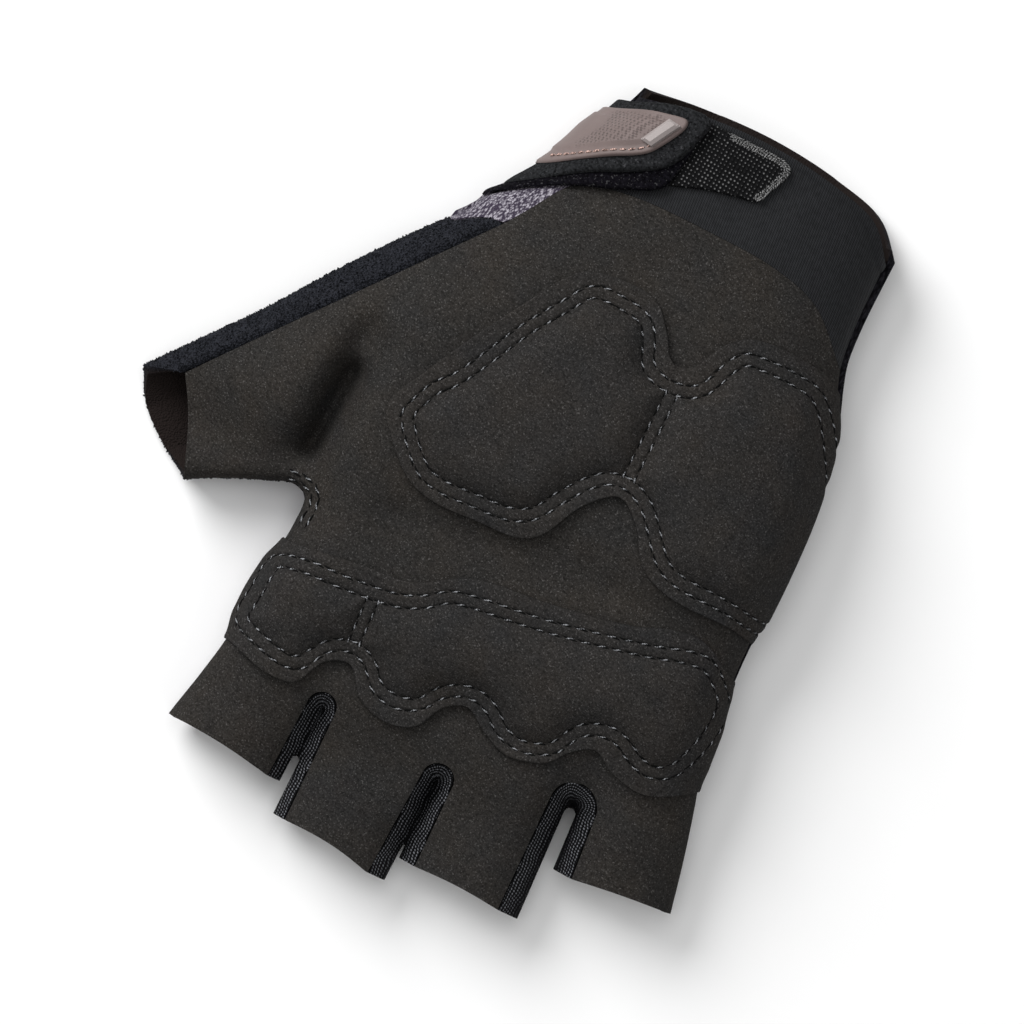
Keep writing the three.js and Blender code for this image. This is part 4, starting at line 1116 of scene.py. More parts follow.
def neoprene_material(name, colour):
    """Knit-faced neoprene with a very fine slanting rib."""
    material, tree, shader = new_material(name, 0.8, gloss=0.12)
    place = node(tree, "ShaderNodeSeparateXYZ", {0: object_place(tree, -6)})
    rib = maths(tree, "SINE", maths(tree, "MULTIPLY", place.outputs["X"], 2 * math.pi / (0.52 * mm)))
    slant = maths(tree, "MULTIPLY_ADD", place.outputs["X"], 0.6, place.outputs["Y"])
    course = maths(tree, "SINE", maths(tree, "MULTIPLY", slant, 2 * math.pi / (0.43 * mm)))
    weave = maths(tree, "MULTIPLY_ADD", course, 0.2, maths(tree, "MULTIPLY_ADD", rib, 0.25, 0.5))
    slow = noise(tree, object_place(tree), 900, 2.0, 0.5, 0.6)
    tone = maths(tree, "MULTIPLY", weave, maths(tree, "MULTIPLY_ADD", slow, 1.2, 0.4))
    tree.links.new(between(tree, tone, scaled(colour, 0.35), scaled(colour, 1.65), 0.1, 0.9),
                   shader.inputs["Base Color"])
    bumped(tree, shader, weave, 0.5, 0.12)
    return material


cord_width = 0.56
dash_length = 0.62
cord_reach = 4.2


def elastic_material(name, colour, thread):
    """Corded elastic: cords follow the seam, with short slanted light dashes along them."""
    material, tree, shader = new_material(name, 0.8, gloss=0.06)
    cloth = node(tree, "ShaderNodeUVMap", uv_map="cloth").outputs[0]
    place = node(tree, "ShaderNodeSeparateXYZ", {0: cloth})
    waver = noise(tree, cloth, 190, 2.0, 0.5, 0.4)
    row = maths(tree, "DIVIDE", place.outputs["Y"], cord_width * mm)
    row = maths(tree, "ADD", row, maths(tree, "MULTIPLY", waver, 3.2))
    cord = maths(tree, "FRACT", row)
    along = maths(tree, "DIVIDE", place.outputs["X"], dash_length * mm)
    along = maths(tree, "ADD", along, maths(tree, "MULTIPLY", maths(tree, "FLOOR", row), 0.37))
    dash = maths(tree, "FRACT", maths(tree, "MULTIPLY_ADD", cord, 0.55, along))
    dash = maths(tree, "SINE", maths(tree, "MULTIPLY", dash, math.pi))
    ridge = maths(tree, "SINE", maths(tree, "MULTIPLY", cord, math.pi))
    grain = noise(tree, cloth, 2400, 1.0, 0.5, 0.1)
    shown = maths(tree, "MULTIPLY", maths(tree, "POWER", dash, 1.6), maths(tree, "POWER", ridge, 3.0))
    shown = maths(tree, "MULTIPLY", shown, maths(tree, "MULTIPLY_ADD", grain, 1.8, -0.1))
    reach = cord_reach * mm
    near = node(tree, "ShaderNodeMapRange", {0: place.outputs["Y"], 1: reach, 2: reach / 2})
    shown = maths(tree, "MULTIPLY", shown, near.outputs[0])
    tree.links.new(between(tree, shown, colour, thread, 0.12, 0.85), shader.inputs["Base Color"])
    bumped(tree, shader, maths(tree, "ADD", ridge, maths(tree, "MULTIPLY", dash, 0.4)), 0.9, 0.30)
    return material


def felt_material(name, colour, specks, amount):
    """Pressed fibre with scattered light specks, used for the strap's layers."""
    material, tree, shader = new_material(name, 1.0, gloss=0.03)
    place = object_place(tree, 15)
    fibre = noise(tree, place, 1500, 4.0, 0.7, 0.5)
    base = between(tree, fibre, scaled(colour, 0.3), scaled(colour, 1.9), 0.35, 0.65)
    dots = noise(tree, place, 2300, 1.0, 0.5, 0.9)
    shown = between(tree, dots, (0, 0, 0), specks, 1.0 - amount, 1.0 - amount + 0.1)
    tree.links.new(mixed(tree, 1.0, base, shown, "ADD"), shader.inputs["Base Color"])
    bumped(tree, shader, fibre, 0.8, 0.3)
    return material


def hook_material(name, colour, thread):
    """Woven tape that carries the hooks: small light knots in rows on a black ground."""
    material, tree, shader = new_material(name, 0.8, gloss=0.1)
    flat_place = object_place(tree, 4, (1, 1, 0))
    weave = node(tree, "ShaderNodeTexVoronoi", {"Vector": flat_place, "Scale": 1180.0,
                                                "Randomness": 0.20})
    random = noise(tree, object_place(tree), 420, 2.0, 0.6, 0.6)
    knot = maths(tree, "SUBTRACT", 1.0, maths(tree, "MULTIPLY", weave.outputs["Distance"], 1.8))
    shown = maths(tree, "MULTIPLY", knot, maths(tree, "MULTIPLY_ADD", random, 0.7, 0.62))
    tree.links.new(between(tree, shown, colour, thread, 0.52, 0.82), shader.inputs["Base Color"])
    bumped(tree, shader, knot, 0.9, 0.4)
    return material


def rubber_material(name, colour, roughness):
    """Moulded rubber; where the mesh carries a dotted attribute it has rows of small pits, painted darker
    as shade in their hollows.
    """
    material, tree, shader = new_material(name, roughness, gloss=0.3)
    slow = noise(tree, object_place(tree), 180, 3.0, 0.55, 0.7)
    fine = noise(tree, object_place(tree), 2600, 2.0, 0.5, 0.2)
    zone = node(tree, "ShaderNodeAttribute", attribute_name="dotted").outputs["Fac"]
    rows = object_place(tree, -14, (1, 1.55, 1))
    grid = node(tree, "ShaderNodeTexVoronoi", {"Vector": rows, "Scale": 1300.0, "Randomness": 0.10})
    pit_with_painted_shade = node(tree, "ShaderNodeMapRange", {0: grid.outputs["Distance"], 1: 0.50, 2: 0.26}).outputs[0]
    pit_with_painted_shade = maths(tree, "MULTIPLY", pit_with_painted_shade, zone)
    base = between(tree, slow, scaled(colour, 0.93), scaled(colour, 1.08), 0.3, 0.7)
    # Painted shade: each pit's colour is mixed most of the way towards a third of the rubber's.
    tree.links.new(mixed(tree, maths(tree, "MULTIPLY", pit_with_painted_shade, 0.75), base, scaled(colour, 0.35)),
                   shader.inputs["Base Color"])
    height = maths(tree, "MULTIPLY_ADD", fine, 0.12, maths(tree, "MULTIPLY", pit_with_painted_shade, -1.0))
    bumped(tree, shader, height, 0.6, 0.15)
    return material


def thread_material(name, colour, roughness=0.7):
    """Twisted sewing thread."""
    material, tree, shader = new_material(name, roughness, gloss=0.1)
    ply = noise(tree, object_place(tree, 20), 4200, 1.0, 0.5, 0.3)
    tree.links.new(between(tree, ply, scaled(colour, 0.12), scaled(colour, 1.5), 0.42, 0.58),
                   shader.inputs["Base Color"])
    bumped(tree, shader, ply, 0.5, 0.1)
    return material


def floor_material(name, colour):
    material, tree, shader = new_material(name, 0.9)
    grain = noise(tree, object_place(tree), 60, 2.0, 0.5, 0.0)
    pale = between(tree, grain, scaled(colour, 0.985), colour, 0.2, 0.8)
    tree.links.new(pale, shader.inputs["Base Color"])
    return material


# Stitches laid along a line on the cloth

def seam_curve(name, points, out):
    """An edge-only mesh that carries the outward direction of the cloth at each point."""
    mesh = bpy.data.meshes.new(name)
    edges = [(n, n + 1) for n in range(len(points) - 1)]
    mesh.from_pydata((np.asarray(points) * mm).tolist(), edges, [])
    outward_attribute = mesh.attributes.new("outward", "FLOAT_VECTOR", "POINT")
    outward_attribute.data.foreach_set("vector", np.asarray(out, np.float32).ravel())
    return linked(name, mesh)


def stitch_shape(name, length, width, height, lean_degrees, rings=5, around=6):
    """One stitch: a short thread that dives into the cloth at both ends."""
    points, faces = [], []
    turn = math.radians(lean_degrees)
    for ring in range(rings + 1):
        t = ring / rings
        thin = math.sqrt(max(math.sin(math.pi * (0.06 + 0.88 * t)), 0))
        lift = height * math.sin(math.pi * t) - 0.35 * height
        x0 = (t - 0.5) * length
        for spoke in range(around):
            angle = 2 * math.pi * spoke / around
            y0 = math.cos(angle) * width / 2 * thin
            z0 = math.sin(angle) * width / 2 * thin + lift
            points.append((x0 * math.cos(turn) - y0 * math.sin(turn),
                           x0 * math.sin(turn) + y0 * math.cos(turn), z0))
    for ring in range(rings):
        for spoke in range(around):
            a, b = ring * around + spoke, ring * around + (spoke + 1) % around
            faces.append([a, a + around, b + around, b])
    faces.append(list(range(around)))
    faces.append([rings * around + n for n in reversed(range(around))])
    return new_piece(name, points, faces, 60)


def geometry_tree(name, sockets):
    tree = bpy.data.node_groups.new(name, "GeometryNodeTree")
    for label, kind, default in sockets:
        made = tree.interface.new_socket(label, in_out="INPUT", socket_type=kind)
        if default is not None:
            made.default_value = default
    tree.interface.new_socket("Geometry", in_out="OUTPUT", socket_type="NodeSocketGeometry")
    return tree, node(tree, "NodeGroupInput"), node(tree, "NodeGroupOutput")


def finish_copies(tree, copies, given, result):
    """Make the copies real, give them their material and hand them out."""
    real = node(tree, "GeometryNodeRealizeInstances", {"Geometry": copies.outputs[0]})
    finished = node(tree, "GeometryNodeSetMaterial",
                    {"Geometry": real.outputs[0], "Material": given.outputs["Material"]})
    tree.links.new(finished.outputs[0], result.inputs[0])


def seam_tree():
    """Copies of a stitch along a line, standing on the cloth, with a small seeded unevenness."""
    tree, given, result = geometry_tree("Stitches along a line", [
        ("Geometry", "NodeSocketGeometry", None),
        ("Stitch", "NodeSocketObject", None),
        ("Pitch", "NodeSocketFloat", 2.2 * mm),
        ("Unevenness", "NodeSocketFloat", 0.12),
        ("Seed", "NodeSocketInt", 1),
        ("Material", "NodeSocketMaterial", None),
    ])
    outward_at = node(tree, "GeometryNodeInputNamedAttribute", {"Name": "outward"},
                      data_type="FLOAT_VECTOR")
    line = node(tree, "GeometryNodeMeshToCurve", {"Mesh": given.outputs["Geometry"]})
    even_line = node(tree, "GeometryNodeResampleCurve",
                     {"Curve": line.outputs[0], "Length": given.outputs["Pitch"]}, mode="LENGTH")
    tangent = node(tree, "GeometryNodeInputTangent")
    along = node(tree, "FunctionNodeAlignRotationToVector", {"Vector": tangent.outputs[0]}, axis="X")
    upright = node(tree, "FunctionNodeAlignRotationToVector",
                   {"Rotation": along.outputs[0], "Vector": outward_at.outputs["Attribute"]},
                   axis="Z", pivot_axis="X")
    wobble = node(tree, "FunctionNodeRandomValue", {"Seed": given.outputs["Seed"]},
                  data_type="FLOAT_VECTOR")
    centred = node(tree, "ShaderNodeVectorMath", {0: wobble.outputs["Value"], 1: (0.5, 0.5, 0.5)},
                   operation="SUBTRACT")
    tilt = node(tree, "ShaderNodeVectorMath", {0: centred.outputs[0], "Scale": given.outputs["Unevenness"]},
                operation="SCALE")
    tilt_rotation = node(tree, "FunctionNodeEulerToRotation", {0: tilt.outputs[0]})
    turned = node(tree, "FunctionNodeRotateRotation",
                  {"Rotation": upright.outputs[0], "Rotate By": tilt_rotation.outputs[0]},
                  rotation_space="LOCAL")
    stitch = node(tree, "GeometryNodeObjectInfo", {"Object": given.outputs["Stitch"]})
    copies = node(tree, "GeometryNodeInstanceOnPoints",
                  {"Points": even_line.outputs[0], "Instance": stitch.outputs["Geometry"],
                   "Rotation": turned.outputs[0]})
    finish_copies(tree, copies, given, result)
    return tree


def tuft_tree():
    """Small tufts scattered over the outer side of a cloth, leaning at random."""
    tree, given, result = geometry_tree("Tufts over a cloth", [
        ("Geometry", "NodeSocketGeometry", None),
        ("Tuft", "NodeSocketObject", None),
        ("Density", "NodeSocketFloat", 1.0 / mm ** 2),
        ("Seed", "NodeSocketInt", 1),
        ("Material", "NodeSocketMaterial", None),
    ])
    inner = node(tree, "GeometryNodeInputNamedAttribute", {"Name": "lining"}, data_type="FLOAT")
    outer = node(tree, "FunctionNodeCompare", {0: inner.outputs["Attribute"], 1: 0.01},
                 data_type="FLOAT", operation="LESS_THAN")
    spots = node(tree, "GeometryNodeDistributePointsOnFaces",
                 {"Mesh": given.outputs["Geometry"], "Selection": outer.outputs[0],
                  "Density": given.outputs["Density"], "Seed": given.outputs["Seed"]})
    turn = node(tree, "FunctionNodeRandomValue", {1: (6.3, 6.3, 6.3), "Seed": given.outputs["Seed"]},
                data_type="FLOAT_VECTOR")
    rotation = node(tree, "FunctionNodeEulerToRotation", {0: turn.outputs["Value"]})
    size = node(tree, "FunctionNodeRandomValue", {2: 0.7, 3: 1.3, "Seed": given.outputs["Seed"]},
                data_type="FLOAT")
    tuft = node(tree, "GeometryNodeObjectInfo", {"Object": given.outputs["Tuft"]})
    copies = node(tree, "GeometryNodeInstanceOnPoints",
                  {"Points": spots.outputs["Points"], "Instance": tuft.outputs["Geometry"],
                   "Rotation": rotation.outputs[0], "Scale": size.outputs[1]})
    finish_copies(tree, copies, given, result)
    return tree


def grown(name, base, tree, **values):
    """The plain mesh that a geometry tree makes from a base object, which is then removed."""
    modifier = base.modifiers.new("grow", "NODES")
    modifier.node_group = tree
    sockets = {item.name: item.identifier for item in tree.interface.items_tree if item.in_out == "INPUT"}
    for label, value in values.items():
        modifier[sockets[label.replace("_", " ").capitalize()]] = value
    bpy.context.view_layer.update()
    graph = bpy.context.evaluated_depsgraph_get()
    mesh = bpy.data.meshes.new_from_object(base.evaluated_get(graph))
    mesh.name = name
    bpy.data.objects.remove(base)
    mesh.shade_smooth()
    return linked(name, mesh)


def joined_mesh(name, pieces):
    """One object from several, all at the origin."""
    shape = bmesh.new()
    materials = []
    for piece in pieces:
        start = len(materials)
        for material in piece.data.materials:
            materials.append(material)
        first = len(shape.faces)
        shape.from_mesh(piece.data)
        shape.faces.ensure_lookup_table()
        for face in shape.faces[first:]:
            face.material_index += start
    mesh = bpy.data.meshes.new(name)
    shape.to_mesh(mesh)
    shape.free()
    for material in materials:
        mesh.materials.append(material)
    mesh.shade_smooth()
    for piece in pieces:
        bpy.data.objects.remove(piece)
    return linked(name, mesh)


# Sizes and colours that a user would change

longest_size = 50


def length_property(label, words, default_mm):
    return bpy.props.FloatProperty(name=label, description=words, default=default_mm * mm,
                                   min=0.0, max=longest_size * mm, unit="LENGTH", precision=5)


def colour_property(label, words, default):
    return bpy.props.FloatVectorProperty(name=label, description=words, default=default, size=3,
                                         min=0.0, max=1.0, subtype="COLOR")


class GloveSizes(bpy.types.PropertyGroup):
    suede_wall: length_property("Suede", "Thickness of the palm's suede", 1.2)
    mesh_wall: length_property("Knit", "Thickness of the knit back", 1.4)
    terry_wall: length_property("Terry", "Thickness of the towelling on the thumb", 2.0)
    neoprene_wall: length_property("Neoprene", "Thickness of the cuff", 2.0)
    gusset_wall: length_property("Elastic", "Thickness of the gussets between the fingers", 1.0)
    patch_wall: length_property("Patch cloth", "Thickness of a palm patch at its edge", 1.3)
    heel_padding: length_property("Heel padding", "How far the heel patch swells", 2.6)
    knuckle_padding: length_property("Knuckle padding", "How far the knuckle patch swells", 2.2)
    padding_slope: length_property("Padding slope", "Width over which the padding rises", 7.0)
    row_gap: length_property("Row gap", "Distance between the two stitch rows of a patch", 2.4)
    stitch_pitch: length_property("Stitch pitch", "Distance from one stitch to the next", 3.2)
    stitch_length: length_property("Stitch length", "Length of the light thread that shows", 1.9)
    thread_width: length_property("Thread", "Width of the sewing thread", 0.38)
    hook_wall: length_property("Hook tape", "Thickness of the hook patch", 0.9)
    strap_under_wall: length_property("Pile", "Thickness of the strap's pile layer", 1.0)
    strap_wall: length_property("Strap", "Thickness of the strap's felt", 1.5)
    tab_wall: length_property("Tab edge", "Thickness of the rubber tab's border", 0.9)
    tab_plateau: length_property("Tab middle", "Height of the tab's middle over its border", 1.3)
    tab_flange: length_property("Tab border", "Width of the tab's thin border", 1.7)
    tip_rise: length_property("Tip", "Height of the tip block over the tab", 0.4)


class GloveColours(bpy.types.PropertyGroup):
    suede: colour_property("Suede", "Palm suede", (0.0240, 0.0231, 0.0225))
    suede_tint: colour_property("Suede tint", "Warm cast of the palm suede", (1.0, 0.975, 0.95))
    patch: colour_property("Patch", "Suede of the padded patches", (0.0236, 0.0227, 0.0223))
    patch_tint: colour_property("Patch tint", "Cast of the patch suede", (1.0, 0.99, 0.985))
    terry: colour_property("Terry", "Towelling on the thumb", (0.0175, 0.0185, 0.0230))
    knit: colour_property("Knit", "Dark yarn of the knit beside the thumb", (0.036, 0.029, 0.045))
    knit_light: colour_property("Knit light", "Light yarn of the knit beside the thumb", (0.35, 0.33, 0.37))
    knit_plain: colour_property("Knit plain", "Dark knit of the rest of the back", (0.0110, 0.0105, 0.0130))
    lining: colour_property("Lining", "Inner side of the back and the thumb", (0.0170, 0.0130, 0.0120))
    neoprene: colour_property("Neoprene", "Cuff", (0.0140, 0.0145, 0.0160))
    elastic: colour_property("Elastic", "Gussets between the fingers", (0.0035, 0.0035, 0.0042))
    elastic_thread: colour_property("Elastic thread", "Light thread of the gussets", (0.17, 0.175, 0.19))
    felt: colour_property("Felt", "Strap", (0.0130, 0.0135, 0.0145))
    felt_specks: colour_property("Felt specks", "Light fibres of the strap", (0.028, 0.028, 0.030))
    pile: colour_property("Pile", "Under layer of the strap", (0.0035, 0.0032, 0.0045))
    pile_specks: colour_property("Pile specks", "Light fibres of the under layer", (0.035, 0.035, 0.035))
    hook: colour_property("Hook tape", "Ground of the hook patch", (0.0035, 0.0035, 0.0040))
    hook_thread: colour_property("Hook thread", "Light thread of the hook patch", (0.15, 0.15, 0.15))
    rubber: colour_property("Rubber", "Pull tab", (0.137, 0.103, 0.097))
    # The tip is the tab's rubber painted lighter: a painted highlight on the raised block.
    tip: colour_property("Tip", "Block at the tab's end", (0.262, 0.229, 0.222))
    thread: colour_property("Thread", "Sewing thread", (0.19, 0.195, 0.205))
    # The dark thread is painted shade: near-black stitches in the gaps between the light ones stand for the
    # shade of the needle holes.
    dark_thread: colour_property("Dark thread", "Painted shade between the light stitches", (0.002, 0.002, 0.002))
    tab_thread: colour_property("Tab thread", "Thread round the pull tab", (0.46, 0.31, 0.27))
    floor: colour_property("Floor", "Plain floor", (0.90, 0.90, 0.90))


def sizes_mm():
    """The user's sizes in millimetres, by name."""
    held = bpy.context.scene.glove_sizes
    return {name: getattr(held, name) / mm for name in GloveSizes.__annotations__}


def colour(name):
    return tuple(getattr(bpy.context.scene.glove_colours, name))


def fit(piece, material, slot_name, *nodes):
    """Give a finished piece its material, body and node; its material slot name is not used."""
    piece.data.materials.clear()
    piece.data.materials.append(material)
    place_piece(piece, slot_name, *nodes)


def place_piece(piece, slot_name, *nodes):
    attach(piece, "root")
    if nodes:
        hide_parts(*nodes)


# What is laid over the palm

edge_rows = (0.02, 0.07, 0.16, 0.28, 0.44, 0.64, 0.90, 1.25)
seam_offsets = (-0.9, -0.6, -0.38, -0.18, 0.0, 0.18, 0.38, 0.6, 0.9)
divider_half_width = 1.2
free_padding = 9.0
ring_spacing = 0.45
patch_ring_spacing = 0.5
patch_spacing = 0.75


def row_loop(rows):
    """A closed stitch row, counterclockwise."""
    return closed_loop(counterclockwise(ring_of(rows, ring_spacing)))


def patch_seams(row, divider, sizes):
    """Stitch lines of a patch: the outer row, the inner row and the two rows of the divider."""
    outer = row_loop(row)
    inner = loop_aside(outer, sizes["row_gap"])
    inner = inner[distance_to(outer, inner) >= sizes["row_gap"] - 0.05]
    inner = closed_loop(inner) if math.dist(inner[0], inner[-1]) > 1e-6 else inner
    start, end = spot(divider[0]), spot(divider[1])
    along = (end - start) / np.hypot(*(end - start))
    side = np.array([-along[1], along[0]]) * divider_half_width
    lines = [outer, inner]
    for turn in (-1, 1):
        line = start + (end - start) * even(50)[:, None] + side * turn
        lines.append(line[depth_in(inner, line) > -0.2])
    return lines


padding_start = 0.25
padding_round = 2.4
stitch_sink = 0.34
patch_edge_round = 0.28
side_reach = 5
corner_taper = 6
corner_thinning = 0.8


def patch_lift(outline, seam_lines, divider, padding, sizes):
    """Height of a padded patch over the palm at each place."""
    edge = row_loop(outline)
    middle = np.array([spot(divider[0]), spot(divider[1])])

    def lift(xy, _):
        cell = np.minimum(depth_in(seam_lines[1], xy), distance_to(middle, xy) - divider_half_width)
        t = np.clip((cell - padding_start) / sizes["padding_slope"], 0, 1)
        swell = padding * (1 - (1 - t) ** padding_round)
        swell = swell * smoothstep(depth_inside(ulnar, xy)[0], 0, free_padding)
        sunk = 0.0
        for line in seam_lines:
            groove = np.exp(-(distance_to(line, xy) / stitch_sink) ** 2)
            sunk = np.maximum(sunk, stitch_sink * groove)
        depth = np.where(inside(edge[:-1], xy), distance_to(edge, xy), 0)
        from_side = np.minimum(depth_inside(ulnar, xy)[0], depth_inside(index, xy)[0])
        corner = (1 - smoothstep(from_side, 0, side_reach)) * (1 - smoothstep(depth, 0, corner_taper))
        wall = sizes["patch_wall"] * rounded(depth, patch_edge_round) * (1 - corner_thinning * corner)
        return patch_clearance + wall + swell - sunk

    return lift


def patch_ring(outline):
    ring = counterclockwise(ring_of(outline, patch_ring_spacing))
    for edge in (ulnar, index):
        if (depth_inside(edge, ring)[0] < 0).any():
            ring, _ = clipped(ring, edge, patch_ring_spacing)
    return ring


def padded_patch(name, outline, row, divider, padding, sizes):
    seam_lines = patch_seams(row, divider, sizes)
    lift = patch_lift(outline, seam_lines, divider, padding, sizes)
    return overlay(name, patch_ring(outline), edge_rows, patch_spacing, lift, patch_clearance,
                   lines=seam_lines, offsets=seam_offsets)


pressed_share = 0.6
pressed_along = (49, 62)
pressed_across = (-32, -18)
fold_reach = 8


def pressed(xy):
    """How far the stack of layers stands off the glove: it thins at its thumb end and its fold."""
    from_end = np.maximum(smoothstep(xy[:, 1], *pressed_along), smoothstep(xy[:, 0], *pressed_across))
    from_fold = smoothstep(depth_inside(radial, xy)[0], 0, fold_reach)
    spare = 1 - pressed_share
    return (pressed_share + spare * from_end) * (pressed_share + spare * from_fold)


settling_rounds = 20


def settled(rows, height):
    """Outline rows moved so that they are seen in place once raised off the cloth."""
    seen = np.array([spot(row) for row in rows])
    place = seen.copy()
    for _ in range(settling_rounds):
        _, out = on_skin(place, 1)
        place = (place + seen - out[:, :2] * (height * pressed(place))[:, None]) / 2
    return place / np.array([palm_width, glove_length])


def below_hem(outline):
    """The ring of a layer of the fastening, held below the wrist's hem."""
    return held_in(ring_of(outline, ring_spacing), hem_line[::-1])


def ring_with_fold(outline):
    """The same ring, cut off at the thumb-side edge, and how much of it runs along that edge."""
    return clipped(counterclockwise(below_hem(outline)), radial, ring_spacing)


def free_row(outline, depth):
    """A line at a set depth inside the free edge of a layer of the fastening."""
    ring, run = ring_with_fold(outline)
    row = loop_aside(closed_loop(ring), depth)[run:-1]
    return row[distance_to(radial, row) > depth]


tuck_rows = 8


def layer_with_tuck(name, outline, depths, spacing, thickness, base):
    """A layer of the fastening: laid on the palm side, and turned under the thumb-side edge."""
    ring, run = ring_with_fold(outline)
    free = np.vstack([ring[run - 1:], ring[:1]])
    xy, faces, _ = region(ring, depths, spacing)
    turned = ring[:run]
    away = np.gradient(turned, axis=0)
    away /= np.hypot(*away.T)[:, None]
    inward = np.stack([-away[:, 1], away[:, 0]], 1)
    if not inside(ring, turned[run // 2:run // 2 + 1] + inward[run // 2] * 0.3)[0]:
        inward = -inward
    tucked = crowded_start(tuck_rows) * strap_tuck
    under = turned[None] + inward[None] * tucked[:, None, None]
    count = len(xy)
    spots = np.vstack([xy, under.reshape(-1, 2)])
    side = np.concatenate([np.ones(count), -np.ones(under.shape[0] * run)])
    number = count + np.arange(under.shape[0] * run).reshape(under.shape[0], run)
    points, out = skin_of(spots, side)
    near = np.array([int(np.argmin(((xy - spot_xy) ** 2).sum(1))) for spot_xy in turned])
    quads = np.stack([number[:-1, :-1], number[:-1, 1:], number[1:, 1:], number[1:, :-1]], -1)
    join = np.stack([near[:-1], near[1:], number[0, 1:], number[0, :-1]], -1)
    whole = faces + simple(outward(points, out, np.vstack([quads.reshape(-1, 4), join])))
    depth = distance_to(free, spots)
    depth[count:] = np.minimum(depth[count:], np.repeat(strap_tuck - tucked, run))
    share = pressed(spots)
    high = (base + thickness(spots, depth)) * share
    return closed_wall(name, points, out, high, base * share, whole)


def layer_heights(sizes):
    """Lowest height of each layer of the fastening over the cuff."""
    hook = patch_clearance
    under = hook + sizes["hook_wall"] + seam_gap
    strap = under + sizes["strap_under_wall"] + seam_gap
    tab = strap + sizes["strap_wall"] + seam_gap
    return dict(hook=hook, under=under, strap=strap, tab=tab)


tab_edge_round = 0.35
bevel_width = 0.5
crown_width = 5.0


def tab_lift(sizes):
    """Height of the pull tab: a thin border, a steep bevel, then a slow rise to its middle."""
    def lift(_, depth):
        flange = sizes["tab_wall"] * rounded(depth, tab_edge_round)
        bevel = smoothstep(depth, sizes["tab_flange"], sizes["tab_flange"] + bevel_width)
        rise = smoothstep(depth, sizes["tab_flange"], sizes["tab_flange"] + crown_width)
        return flange + sizes["tab_plateau"] * (0.5 * bevel + 0.5 * rise)

    return lift


class GLOVE_OT_palm(bpy.types.Operator):
    """Cut and sew the suede palm with its fingers and the palm side of the thumb"""
    bl_idname = "glove.palm"
    bl_label = "Suede palm"

    def execute(self, context):
        sizes = sizes_mm()
        piece = shell("palm", palm_grids(), 0.0, -sizes["suede_wall"])
        suede = suede_material("Palm suede", colour("suede"), colour("suede_tint"), 0.0)
        fit(piece, suede, "suede", "palm_panel")
        return {"FINISHED"}


class GLOVE_OT_back(bpy.types.Operator):
    """Knit the back of the hand and fingers"""
    bl_idname = "glove.back"
    bl_label = "Knit back"

    def execute(self, context):
        sizes = sizes_mm()
        piece = shell("back", back_grids(), 0.0, -sizes["mesh_wall"])
        fit(piece, knit_material("Knit back", colour("knit"), colour("knit_light"),
                                 colour("knit_plain"), colour("lining")), "knit_mesh", "back_panel")
        return {"FINISHED"}


terry_roll = dict(height=0.8, at=1.2, width=0.8)
terry_sink = dict(depth=0.9, width=0.4)
tuft_length = 0.62
tuft_width = 0.34
tufts_per_mm2 = 2.0


class GLOVE_OT_thumb_back(bpy.types.Operator):
    """Make the towelling panel on the back of the thumb"""
    bl_idname = "glove.thumb_back"
    bl_label = "Towelling thumb"

    def execute(self, context):
        sizes = sizes_mm()
        rim = aside(terry_line, half_gap)

        def rise(xy, side):
            depth = distance_to(rim, xy)
            roll = terry_roll["height"] * np.exp(-((depth - terry_roll["at"]) / terry_roll["width"]) ** 2)
            sink = terry_sink["depth"] * np.exp(-(depth / terry_sink["width"]) ** 2)
            return np.where(side > 0, roll - sink, 0)

        piece = shell("thumb_back_cloth", terry_grids(), rise, -sizes["terry_wall"])
        towelling = terry_material("Towelling", colour("terry"), colour("lining"))
        fit(piece, towelling, "terry", "thumb_back")
        tuft = stitch_shape("tuft", tuft_length, tuft_width, 0.0, 0, rings=3, around=4)
        base = linked("tuft base", piece.data.copy())
        tufts = grown("terry_tufts", base, tuft_tree(), tuft=tuft, density=tufts_per_mm2 / mm ** 2,
                      seed=5, material=towelling)
        bpy.data.objects.remove(tuft)
        for vertex in tufts.data.vertices:
            vertex.co.z = max(vertex.co.z, 0.0)
        place_piece(tufts, "terry")
        return {"FINISHED"}


hem_groove = dict(depth=0.30, at=1.7, width=0.35)
hem_roll = 0.35


class GLOVE_OT_cuff(bpy.types.Operator):
    """Make the neoprene cuff with its turned hem"""
    bl_idname = "glove.cuff"
    bl_label = "Cuff"

    def execute(self, context):
        sizes = sizes_mm()

        def rise(xy, _):
            depth = distance_to(hem_line, xy)
            groove = hem_groove["depth"] * np.exp(-((depth - hem_groove["at"]) / hem_groove["width"]) ** 2)
            return hem_roll * smoothstep(hem_width - depth, 0, hem_width) - groove

        piece = shell("cuff_cloth", [cuff_grid()], rise, -sizes["neoprene_wall"])
        fit(piece, neoprene_material("Neoprene", colour("neoprene")), "neoprene", "cuff")
        return {"FINISHED"}


class GLOVE_OT_gussets(bpy.types.Operator):
    """Make the corded elastic gussets between the fingers"""
    bl_idname = "glove.gussets"
    bl_label = "Finger gussets"

    def execute(self, context):
        sizes = sizes_mm()
        elastic = elastic_material("Corded elastic", colour("elastic"), colour("elastic_thread"))
        for gap, row in enumerate(finger_gaps):
            piece = shell(row["name"] + "_cloth", gusset_grids(gap), 0.0, -sizes["gusset_wall"])
            lay_cords(piece, gap)
            fit(piece, elastic, "elastic", row["name"])
        return {"FINISHED"}


